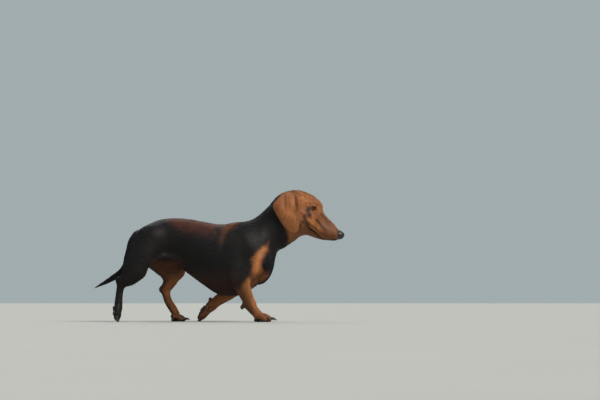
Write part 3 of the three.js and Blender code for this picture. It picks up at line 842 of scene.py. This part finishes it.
def ear_flap(side, thickness):
    """A thin curved flap bent from a sphere: seated on the skull and hanging clear of the cheek"""
    bm = bmesh.new()
    bmesh.ops.create_uvsphere(bm, u_segments=72, v_segments=40, radius=1)
    a, b, face = np.array([v.co[:] for v in bm.verts]).T
    edge_x, edge_z = (smooth_rows([*EAR_EDGE, EAR_EDGE[0]], 14) - EAR_MIDDLE).T
    out = np.hypot(a, b)
    angles, sizes = np.arctan2(edge_z, edge_x), np.hypot(edge_x, edge_z)
    size = np.interp(np.arctan2(b, a), angles, sizes, period=2 * np.pi)
    spread = 0.35 * (np.arcsin(np.clip(out, 0, 1)) / (np.pi / 2)) + 0.65 * out
    x, z = (at + way / np.maximum(out, 1e-6) * spread * size for at, way in zip(EAR_MIDDLE, (a, b)))
    seat = ramp(z, 268, 295)
    close = side_at(x, z) + 1.6 - 4.6 * seat
    ridges = sum(rise * bell(x - at, wide) for at, wide, rise in EAR_RIDGES)
    hang = np.interp(z, *np.array(EAR_HANG, float).T) - 3 * spread**3 * ramp(290 - z, 0, 20)
    ripple = 0.5 * np.sin(z / 7.0 + x / 9.0) * (1 - seat)
    middle = np.maximum(close, hang + ripple) + ridges * upright(z)
    rim = 1 + 0.25 * ramp(spread, 0.8, 0.93) * ramp(spread, 1.0, 0.95)
    leather = thickness / MM / 2 * (0.8 + 0.5 * (1 - spread)) * rim
    y = middle + np.sign(face) * leather * np.sqrt(np.clip(1 - spread**6, 0, 1)) * (abs(face) > 1e-6)
    for v, place in zip(bm.verts, np.stack([x, side * y, z], 1) * MM):
        v.co = place
    if side < 0:
        bmesh.ops.reverse_faces(bm, faces=bm.faces)
    bmesh.ops.recalc_face_normals(bm, faces=bm.faces)
    return new_object("ear", bm)


# Dark streaks of the face and neck as places in side view (x, z), reach and strength: partly dark hair,
# partly painted shade in the hollows behind the eye, under the cheek bone and beside the muzzle, and the
# ear's painted shadow on the neck
DARK_AND_SHADE_STREAKS = [
    ([(203, 257), (202, 250), (207, 243)], 5.2, 0.95),
    ([(216, 248), (226, 240), (234, 232)], 3, 0.35),
    ([(233, 246), (243, 235), (252, 226)], 3.8, 0.7),
    ([(223, 232), (234, 219), (243, 208)], 3.6, 0.75),
    ([(191, 228), (200, 219), (207, 210)], 4.5, 0.75),
    ([(194, 240), (197, 230), (203, 222)], 5, 0.8),
    ([(128, 268), (134, 240), (150, 214)], 5, 0.25),
    ([(168, 300), (178, 303), (182, 304)], 6, 0.35),
]
# Paler places, given in the same way: the pale whisker spot, and painted highlight, partly over paler hair,
# on the face, the upper lid, the ear, the chest patch and the fronts of the legs
PALE_AND_HIGHLIGHT = [
    ([(192, 218.5), (193.5, 218.5)], 1.9, 1.0),
    ([(211, 241), (216, 231), (223, 222)], 3.5, 0.5),
    ([(203, 233), (214, 224), (226, 211)], 4, 0.75),
    ([(225, 262), (230, 255)], 3, 0.5),
    ([(206, 266.5), (214, 267), (220, 264)], 1.8, 0.6),
    ([(190, 283), (197, 274)], 8, 0.8),
    ([(160, 274), (158, 250)], 12, 0.5),
    ([(104, 165), (94, 152), (88, 134), (88, 118)], 7, 0.95),
    ([(70, 96), (78, 74), (88, 45)], 6, 0.5),
    ([(-120, 66), (-112, 48), (-101, 30)], 6, 0.8),
]
# The painted highlight from the withers down behind the shoulder, along the shoulder blade's rear edge
WITHERS_HIGHLIGHT = [(30, 226), (14, 207), (7, 186)]
CHEST_PATCH = [  # places and reach
    (113, 38, 186, 0.5), (106, 44, 168, 2.5), (93, 52, 151, 9), (85, 56, 136, 12),
    (87, 57, 116, 11.5), (92, 54, 100, 11),
]
VENT = (-204, 0, 143)
MARKS = ("tan", "red", "pale", "shade", "bare", "neck_way", "leg_way", "ear")


def place_keys(obj):
    """Each corner's place as whole numbers of two micrometres"""
    return [tuple(row) for row in np.round(coords(obj) * 500).astype(int)]


def markings(points, out, ear):
    """Shares of tan, of mahogany and painted sheen, of paler hair and painted highlight, of dark skin and
    painted shade, and of bare skin at each point, and which way the coat lies
    """
    x, y, z = points.T
    out_x, out_y, out_z = out.T
    marks = {name: np.zeros(len(x)) for name in MARKS}

    def lay(name, share):
        marks[name] = np.maximum(marks[name], share)
    ragged = grain(points, 16) * 5 + grain(points, 5, 2) * 2.5
    under = np.clip(240 - z, 0, 60)
    head = ramp(x - 144 - 0.27 * under + (z - 240) * 0.13 * (z > 240) + ragged * 0.8, -5, 6)
    lay("tan", np.maximum(head, ear))
    for side in SIDES:
        lay("tan", ramp(Strand(CHEST_PATCH, 0, side).distance(points) + ragged * 0.6, 6, -2))
    brisket = ramp(z + ragged, 122, 106) * ramp(x, 66, 82) * ramp(x, 130, 120)
    lay("tan", 0.7 * brisket * ramp(abs(y), 12, 24))
    for name, (side, strands) in LEGS.items():
        is_front = name.startswith("front")
        turned = -out_y * side  # 1 towards the other leg
        away = joined(points, [Strand(*row, side) for row in strands[int(is_front):]])
        leg = ramp(away, 9, 2)
        paw_x, paw_y, _ = PAWS[name][0]
        leg = np.where(z < 42, np.hypot(x - paw_x, y - paw_y) < 48, leg)
        if is_front:
            # Tan on the fronts and inner sides of the forelegs, partly tan markings and partly painted light
            # where the light from the front falls; their backs are left dark as painted shade
            front = ramp(out_x * 0.8 + turned * 0.35 + ragged * 0.04, -0.45, 0.3)
            low = ramp(z + ragged - x * 0.25 - 16 * front, 76, 54)
            lay("tan", leg * low * (0.4 + 0.6 * front))
        else:
            # Tan on the fronts and inner sides of the hind legs, partly tan markings and partly painted
            # light facing forward; the upper thigh is held darker as painted shade
            ahead = ramp(out_x * 0.75 + turned * 0.6 + ragged * 0.05, -0.1, 0.7)
            ahead *= 1 if side == FAR else ramp(turned, -0.3, 0.4)
            low = ramp(z + ragged - 34 * ramp(out_x, 0.2, 0.8), 118, 82)
            lay("tan", leg * (0.25 * ramp(z, 150, 130) + 0.75 * low) * ahead)
    marks["tan"] *= 1 - 0.45 * ramp(z, 22, 8) * ramp(out_z, 0.1, 0.6) * ramp(x, 175, 165)
    lay("tan", 0.6 * bell(lengths(points - VENT), 14))
    # Painted sheen of a high light along the top of the back, in mahogany, fading with noise down the sides
    deep = np.interp(x, TRUNK_ROWS[:, 0], TRUNK_ROWS[:, 1]) - z + ragged * 1.4
    along = x + ragged * 1.7
    speckled_sheen = ramp(deep + grain(points, 3, 5) * 16, 46, 6)
    lay("red", speckled_sheen * ramp(along - deep, -140, -108) * ramp(along + deep * 0.8, 18, -8))
    # Painted highlight on the withers
    lay("red", ramp(deep, 24, 4) * ramp(x, 4, 16) * ramp(along + deep, 54, 36))
    # Painted highlight from the withers down behind the shoulder
    withers_highlight = near_profile(points, WITHERS_HIGHLIGHT, 9 + ragged * 0.5) * (0.3 + 0.7 * ramp(z, 196, 219))
    lay("tan", 0.26 * withers_highlight)
    lay("red", 0.8 * withers_highlight)
    lay("red", 0.34 * ramp(z + ragged, 130, 90) * ramp(x, -110, -80) * ramp(x, 60, 20))
    lay("red", 0.5 * ramp(z, 148, 136) * ramp(x, -160, -145) * ramp(x, -70, -90))
    lips = near_profile(points, MOUTH_LINE, 1.9, 1.0) * ramp(x, 200, 206)
    # Painted shade on the lower jaw under the flews, below the mouth line
    lay("shade", 0.5 * near_profile(points, MOUTH_LINE, 4.0, 4.5))
    # Painted shade in the ear's folds
    for at, wide, dark in EAR_CREASE_SHADE:
        lay("shade", ear * dark * bell(x - at - (275 - z) * 0.06, wide) * upright(z))
    # Dark hair and painted shade of the streaks, then paler hair and painted highlight of the paler places
    for name, table in (("shade", DARK_AND_SHADE_STREAKS), ("pale", PALE_AND_HIGHLIGHT)):
        for line, far, much in table:
            lay(name, much * near_profile(points, line, far))
    # Darker muzzle: partly darker hair, partly painted shade on its sides, less where it faces up
    muzzle = ramp(x, 222, 244) * ramp(z, 245, 225)
    lay("shade", (0.42 - 0.2 * ramp(out_z, 0.3, 0.8)) * muzzle)
    lay("shade", 0.25 * head * ramp(ragged, 1, 6))
    # Painted shade under the jaw and throat, where the head faces down
    lay("shade", 0.3 * head * ramp(out_z, -0.2, -0.8))
    bare = [lips, ramp(x, 267, 272) * ramp(z, 187, 191), np.minimum(by_nipples(points, 3.2), 1)]
    for side in SIDES:
        local = from_eye(points, side) @ eye_axes().T
        bare.append(ramp(np.hypot(local[:, 1] / 1.5, local[:, 2]), 5.6, 3.6) * (local[:, 0] > 0))
    for share, dark in zip(bare, (0.97, 0.96, 0.9, 0.96, 0.96)):
        lay("bare", share)
        lay("shade", dark * share)
    lay("neck_way", ramp(x * 0.75 + z * 0.66, 215, 250) * (1 - ear))
    lay("leg_way", np.maximum(ramp(z, 110, 80), ear))
    lay("ear", ear)
    return marks


def mark_mesh(obj, marks):
    for name, values in marks.items():
        attribute = obj.data.attributes.get(name) or obj.data.attributes.new(name, "FLOAT", "POINT")
        attribute.data.foreach_set("value", np.asarray(values, np.float32))


def unwrap(obj):
    """The OFBake map on the skin's own shape"""
    obj.data.uv_layers.new(name="OFBake")
    bpy.context.view_layer.objects.active = obj
    for other in bpy.context.view_layer.objects:
        other.select_set(other == obj)
    bpy.ops.object.mode_set(mode="EDIT")
    bpy.ops.mesh.select_all(action="SELECT")
    bpy.ops.uv.smart_project(angle_limit=math.radians(66), island_margin=0.002)
    bpy.ops.object.mode_set(mode="OBJECT")


class DOG_OT_skin(bpy.types.Operator):
    """Make the skin over the whole body, with lids, lips, toes and ears in one mesh"""

    bl_idname = "dog.skin"
    bl_label = "Skin and ears"

    def execute(self, context):
        s = context.scene.dog_skin
        level = -s.depth / MM
        skin = remesh(rough_body(), s.voxel)
        relax(skin, flesh, level, 3)
        refine(skin, lambda p: (p[:, 0] > 172) | (p[:, 2] < 44) | (p[:, 0] < -236))  # head, feet, tail tip
        relax(skin, flesh, level, 2)
        mouth = mouth_line()

        def fine(p):
            by_mouth = np.max([near_line(p, mouth, 5.0, side) for side in SIDES], axis=0) > 0.35
            return by_mouth | by_eye(p, LID_REACH + 1)
        refine(skin, fine)
        lay_down(skin, flesh, level)
        refine(skin, lambda p: by_eye(p, LID_REACH - 3))
        lay_down(skin, flesh, level)
        set_coords(skin, shape_lids(sculpt(coords(skin), normals(skin))))
        ear_places = set()
        for side in SIDES:
            ear = ear_flap(side, s.ear_thickness)
            ear_places.update(place_keys(ear))
            m = skin.modifiers.new("ear", "BOOLEAN")
            m.operation, m.object, m.solver = "UNION", ear, "EXACT"
            apply_modifiers(skin)
            bpy.data.objects.remove(ear)
        ear = np.array([place in ear_places for place in place_keys(skin)], float)
        soften(skin, lambda p: (p[:, 2] > 272) & (p[:, 0] > 118) & (p[:, 0] < 192) & (abs(p[:, 1]) > 8), 3)
        points = coords(skin)
        points[:, 2] = np.maximum(points[:, 2], SOLE)
        set_coords(skin, points)
        skin.data.shade_smooth()
        mark_mesh(skin, markings(coords(skin), normals(skin), ear))
        unwrap(skin)
        skin.data.materials.clear()
        skin.data.materials.append(coat_finish())
        ride(skin, "dark_coat", *FLESH_NODES)
        return {"FINISHED"}


class DOG_OT_eyes(bpy.types.Operator):
    """Make both eyes with a raised cornea"""

    bl_idname = "dog.eyes"
    bl_label = "Eyes"

    def execute(self, context):
        for side, name in ((NEAR, "right"), (FAR, "left")):
            bm = bmesh.new()
            bmesh.ops.create_uvsphere(bm, u_segments=48, v_segments=32, radius=1)
            for v in bm.verts:
                front = max(v.co.normalized().z, 0)
                v.co *= EYE_RADIUS * (1 + CORNEA_RISE * ramp(front, 0.82, 1.0))
            turn = Vector(mirrored(EYE_LOOK, side)).to_track_quat("Z", "Y").to_matrix().to_4x4()
            at = Matrix.Translation(mirrored(EYE_AT, side))
            bm.transform(Matrix.Diagonal((MM, MM, MM, 1)) @ at @ turn)
            eye = new_object(f"eyeball_{name}", bm, eye_finish(side))
            ride(eye, "eye", f"eye_{name}")
        return {"FINISHED"}


class DOG_OT_nose(bpy.types.Operator):
    """Make the nose leather with comma-shaped nostrils and the groove between them"""

    bl_idname = "dog.nose"
    bl_label = "Nose"

    def execute(self, context):
        strands = [Strand(*s) for s in NOSE] + [Strand(*NOSE_WING, side) for side in SIDES]

        def field(points):
            return joined(points, strands)
        bm = bmesh.new()
        ball(bm, (274, 0, 200), 16, 6)
        nose = new_object("nose_leather", bm, leather_finish())
        relax(nose, field, 0.2, 6)
        points = coords(nose)
        x, y, z = points.T
        pits = np.zeros(len(points))
        for side in SIDES:
            pit = near_line(points * (0, 1, 1), np.array(NOSTRIL) * (0, 1, 1), 1.6, side)
            slit = near_line(points, NOSTRIL_SLIT, 1.3, side)
            pits = np.maximum.reduce([pits, 4.4 * pit * ramp(x, 275, 278), 2.8 * slit])
        pits += 1.1 * bell(y, 0.8) * ramp(x, 275, 281) * ramp(z, 206, 199)
        x -= pits
        y -= 0.25 * pits * np.sign(y)
        set_coords(nose, points)
        ride(nose, "nose", "nose")
        return {"FINISHED"}


class DOG_OT_pads(bpy.types.Operator):
    """Make the leather pads under each paw and behind the wrists"""

    bl_idname = "dog.pads"
    bl_label = "Pads"

    def execute(self, context):
        material = leather_finish()
        for name, (side, _) in LEGS.items():
            bm = bmesh.new()
            place = paw_frame(name)
            toes = [toe_places(name, TOE_PAD, k) for k in range(4)]
            for pad in (*toes, [place(*p) for p in HEEL_PAD]):
                for *at, radius in smooth_rows(pad, 3):
                    ball(bm, at, radius)
            if name in WRIST_PADS:
                ball(bm, mirrored(WRIST_PADS[name], side), 5, 3, (0.8, 1.1, 1.1))
            pads = remesh(new_object(f"pads_{name}", bm), PAD_CELL)
            points = coords(pads)
            if PAWS[name][0][2] > 0:
                proud = flesh(points) > PAD_RISE
                points[proud] = settle(points[proud], flesh, PAD_RISE)
            points[:, 2] = np.maximum(points[:, 2], 0)
            set_coords(pads, points)
            pads.data.shade_smooth()
            pads.data.materials.append(material)
            ride(pads, "nose")
        return {"FINISHED"}


class DOG_OT_claws(bpy.types.Operator):
    """Make the curved claws of each paw"""

    bl_idname = "dog.claws"
    bl_label = "Claws"

    def execute(self, context):
        material = horn_finish()
        for name in LEGS:
            bm = bmesh.new()
            replaced = []
            for k in range(4):
                sleeve(bm, toe_places(name, CLAW, k))
                replaced.append(f"claw_{name}_{k + 1}")
            if name.startswith("front"):
                sleeve(bm, inner_places(name, DEWCLAW))
                replaced.append(f"dewclaw_{name}")
            for v in bm.verts:
                v.co.z = max(v.co.z, 0)
            claws = new_object(f"claws_{name}", bm, material)
            ride(claws, "claw", *replaced)
        return {"FINISHED"}


# Coat

def lie(points, ear):
    """The way the hair points at each place"""
    x, y, z = points.T
    way = np.zeros((len(x), 3)) + (-1, 0, -0.3)
    for (ahead, aside, up), share in (
        ((-0.75, 0, -0.66), ramp(x * 0.75 + z * 0.66, 185, 235)),  # neck
        ((-0.9, 0.2, 0.25), ramp(x, 168, 200) * ramp(z, 175, 190)),  # face
        ((-0.35, 0, -1), ramp(z, 128, 84)),  # legs
        ((-0.78, 0, -0.62), ramp(x, -206, -224) * ramp(abs(y), 26, 18)),  # tail
        ((0.1, 0, -1), ear),
    ):
        other = np.stack([np.full(len(x), ahead), aside * np.sign(y), np.full(len(x), up)], 1)
        way = way * (1 - share[:, None]) + other * share[:, None]
    return way / lengths(way)[:, None]


class Surface:
    """Triangles of the skin and the random draws of the tufts that root on it"""

    def __init__(self, skin, seed, count):
        self.rng, self.count = np.random.default_rng(seed), count
        mesh = skin.data
        self.material = mesh.materials[0]
        mesh.calc_loop_triangles()
        self.corners = read(mesh.loop_triangles, "vertices", 3, np.int32)
        self.loops = read(mesh.loop_triangles, "loops", 3, np.int32)
        self.uv = read(mesh.uv_layers["OFBake"].data, "uv", 2)
        self.points, self.out = coords(skin), normals(skin)
        a, b, c = (self.points[self.corners[:, k]] for k in range(3))
        self.areas = lengths(np.cross(b - a, c - a)) / 2
        self.marks = {
            name: read(mesh.attributes[name].data, "value", kind=np.float32) for name in MARKS}

    def roots(self, density):
        """Random places on the skin, their normals, unwrap places and marks"""
        rng, count = self.rng, self.count
        middles = self.points[self.corners].mean(1)
        marks = {name: values[self.corners].mean(1) for name, values in self.marks.items()}
        weight = self.areas * density(middles, self.out[self.corners].mean(1), marks["ear"])
        weight *= (1 - marks["bare"]) ** 2
        chosen = rng.choice(len(weight), count, p=weight / weight.sum())
        u, v = rng.random(count), rng.random(count)
        flip = u + v > 1
        u, v = np.where(flip, 1 - u, u), np.where(flip, 1 - v, v)
        share = np.stack([1 - u - v, u, v], 1)[:, :, None]
        tri = self.corners[chosen]
        at = (self.points[tri] * share).sum(1)
        out = (self.out[tri] * share).sum(1)
        out /= lengths(out)[:, None]
        uv = (self.uv[self.loops[chosen]] * share).sum(1)
        marks = {name: (values[tri] * share[:, :, 0]).sum(1) for name, values in self.marks.items()}
        return at, out, uv, marks


# A tuft: three-cornered at the root and middle and pointed at the tip, as share along, across and up
TUFT = np.array([
    (0, -0.5, 0), (0, 0.5, 0), (0, 0, 0.3),
    (0.55, -0.38, 0), (0.55, 0.38, 0), (0.55, 0, 0.3),
    (1, 0, 0.05),
])
TUFT_FACES = np.array([
    (0, 2, 1), (0, 4, 3), (0, 1, 4), (1, 5, 4), (1, 2, 5), (2, 3, 5), (2, 0, 3),
    (3, 4, 6), (4, 5, 6), (5, 3, 6),
])
TUFT_CURL = np.array([0.0, 0, 0, 0.75, 0.75, 0.75, 1.0])  # share of the lift at each corner
ROOT_DEPTH = 0.35  # how far the roots lie under the skin
LOWEST_TIP = 0.2  # height over the ground
UV_PATCH = 0.003  # width of a tuft on the unwrap
COAT_SIZES = {  # full length, width and lift of a tuft
    "coat_body": (7, 1.3, 0.3), "coat_edges": (8, 1.1, 0.7), "coat_head": (4.2, 0.8, 0.12),
}
SIZE_SPANS = ((0.75, 1.2), (0.8, 1.2), (0.5, 1.3))  # random shares of each


def tufts(name, surface, density, fade, slot):
    """One coat piece: small pointed tufts lying along the coat over the skin"""
    rng, count = surface.rng, surface.count
    at, out, uv, marks = surface.roots(density)
    way = lie(at, marks["ear"])
    way += rng.normal(0, 0.12, way.shape)
    way -= out * (way * out).sum(1)[:, None]
    way /= lengths(way)[:, None] + 1e-9
    across = np.cross(out, way)
    sizes = zip(COAT_SIZES[name], SIZE_SPANS)
    long, wide, rise = (full * fade(at, marks) * rng.uniform(*span, count) for full, span in sizes)
    co = (
        at[:, None] - out[:, None] * ROOT_DEPTH
        + way[:, None] * (TUFT[:, 0] * long[:, None])[:, :, None]
        + across[:, None] * (TUFT[:, 1] * wide[:, None])[:, :, None]
        + out[:, None] * (TUFT[:, 2] * wide[:, None] + TUFT_CURL * rise[:, None])[:, :, None]
    ).reshape(-1, 3)
    co[:, 2] = np.maximum(co[:, 2], LOWEST_TIP)
    faces = (TUFT_FACES[None] + np.arange(count)[:, None, None] * len(TUFT)).reshape(-1, 3)
    mesh = bpy.data.meshes.new(name)
    mesh.from_pydata((co * MM).tolist(), [], faces.tolist())
    patch = (TUFT[:, :2] - np.array((0.5, 0))) * UV_PATCH
    per_vertex = (uv[:, None] + patch[None]).reshape(-1, 2)
    layer = mesh.uv_layers.new(name="OFBake")
    layer.data.foreach_set("uv", np.clip(per_vertex[faces.ravel()], 0, 1).ravel())
    obj = placed(name, mesh)
    mark_mesh(obj, {key: np.repeat(values, len(TUFT)) for key, values in marks.items()})
    mesh.materials.append(surface.material)
    mesh.shade_smooth()
    mesh.normals_split_custom_set_from_vertices(np.repeat(out, len(TUFT), axis=0).tolist())
    ride(obj, slot)


def on_edges(points, out):
    """Where the short coat breaks the form"""
    x, y, z = points.T
    ahead, _, up = out.T
    return np.maximum.reduce([
        ramp(up, -0.2, -0.8) * ramp(x, -150, -120) * ramp(x, 120, 90),  # belly
        ramp(-ahead, 0.35, 0.9) * ramp(z, 60, 90) * ramp(x, -90, -110),  # backs of the thighs
        ramp(x, -212, -224) * ramp(abs(y), 22, 14),  # tail
        ramp(ahead, 0.3, 0.9) * ramp(x, 60, 90) * ramp(z, 210, 190),  # chest
        ramp(-ahead, 0.3, 0.8) * ramp(z, 120, 105) * ramp(x, -60, -40),  # elbows
        ramp(up, 0.5, 0.9) * ramp(x, 40, 70) * 0.5,  # nape
    ])


class DOG_OT_coat(bpy.types.Operator):
    """Lay short tufts over the skin, longest along the edges where the coat breaks the form"""

    bl_idname = "dog.coat"
    bl_label = "Coat"

    def execute(self, context):
        s = context.scene.dog_coat
        count = s.tufts
        surface = Surface(bpy.data.objects["skin"], s.seed, count)

        def body(points, out, ear):
            return (points[:, 0] < 160) * (0.35 + 1.4 * on_edges(points, out)) * (1 - ear)

        def edges(points, out, ear):
            return (on_edges(points, out) + 0.002) * (1 - ear)

        def head(points, out, ear):
            x, _, z = points.T
            front = ramp(x, 118, 150) * ramp(z, 165, 190) * ramp(x, 268, 258)
            off_eye = ramp(np.hypot(x - EYE_AT.x, z - EYE_AT.z), 8, 13)
            return front * (1 - ear * (abs(out[:, 1]) < 0.7)) * off_eye

        def by_height(points, marks):
            """Full length on the body, down to less than half on the feet"""
            return 0.4 + 0.6 * ramp(points[:, 2], 15, 120)

        def on_head(points, marks):
            """Full length on the crown, down to less than half on the muzzle and the ears"""
            return 1 - 0.55 * np.maximum(ramp(points[:, 0], 200, 240), marks["ear"])
        tufts("coat_body", surface, body, by_height, "dark_coat")
        tufts("coat_edges", surface, edges, by_height, "dark_coat")
        tufts("coat_head", surface, head, on_head, "tan_coat")
        return {"FINISHED"}


# Stage

SUNS = [  # name, place, spread in degrees, strength and tint
    ("key", (3.4, -2.6, 4.2), 24, 2.7, (1, 0.95, 0.88)),
    ("back", (-0.6, 3.2, 3.2), 40, 0.55, (1, 0.96, 0.92)),
]
SKY = (0.60, 0.69, 0.71, 1), 0.6
CAMERA_ALONG = 0.184  # metres ahead of the dog's middle
LOOK_UP = math.atan(102.5 / 1739)  # from the horizon's place in the photo and its focal length in pixels


class DOG_OT_stage(bpy.types.Operator):
    """Set the floor, the lights and the camera"""

    bl_idname = "dog.stage"
    bl_label = "Stage"

    def execute(self, context):
        s = context.scene.dog_stage
        bm = bmesh.new()
        bmesh.ops.create_grid(bm, x_segments=2, y_segments=2, size=90)
        floor = new_object("floor", bm, floor_finish(), smooth=False)
        for name, at, spread, strength, tint in SUNS:
            light = bpy.data.lights.new(name, "SUN")
            light.angle, light.energy, light.color = math.radians(spread), strength, tint
            lamp = placed(name, light)
            lamp.location = at
            lamp.rotation_euler = (-Vector(at)).to_track_quat("-Z", "Y").to_euler()
        world = bpy.data.worlds.new("studio")
        world.use_nodes = True
        sky = world.node_tree.nodes["Background"].inputs
        sky["Color"].default_value, sky["Strength"].default_value = SKY
        context.scene.world = world
        lens = bpy.data.cameras.new("camera")
        lens.sensor_width, lens.lens = 36, s.focal
        lens.clip_end = 100
        camera = placed("camera", lens)
        camera.location = (CAMERA_ALONG, -s.distance, s.height)
        camera.rotation_euler = (math.radians(90) + LOOK_UP, 0, 0)
        context.scene.camera = camera
        context.scene.view_settings.view_transform = "Standard"
        return {"FINISHED"}


class DOG_PT_panel(bpy.types.Panel):
    """The dog's pieces in the order they are made"""

    bl_label = "Dachshund"
    bl_idname = "DOG_PT_panel"
    bl_space_type = "VIEW_3D"
    bl_region_type = "UI"
    bl_category = "Dachshund"

    def draw(self, context):
        for group in GROUPS:
            settings = getattr(context.scene, group)
            for key in settings.__annotations__:
                self.layout.prop(settings, key)
        for operator in OPERATORS:
            self.layout.operator(operator.bl_idname)


GROUPS = {
    "dog_skin": SkinSettings,
    "dog_coat": CoatSettings,
    "dog_stage": StageSettings,
}
OPERATORS = (
    DOG_OT_stage, DOG_OT_skin, DOG_OT_eyes, DOG_OT_nose,
    DOG_OT_pads, DOG_OT_claws, DOG_OT_coat,
)


def register():
    for cls in (*GROUPS.values(), *OPERATORS, DOG_PT_panel):
        bpy.utils.register_class(cls)
    for name, group in GROUPS.items():
        setattr(bpy.types.Scene, name, PointerProperty(type=group))


def unregister():
    for name in GROUPS:
        delattr(bpy.types.Scene, name)
    for cls in reversed((*GROUPS.values(), *OPERATORS, DOG_PT_panel)):
        bpy.utils.unregister_class(cls)


def main():
    register()
    bpy.ops.dog.stage()
    bpy.ops.dog.skin()
    bpy.ops.dog.eyes()
    bpy.ops.dog.nose()
    bpy.ops.dog.pads()
    bpy.ops.dog.claws()
    bpy.ops.dog.coat()


if __name__ == "__main__":
    main()
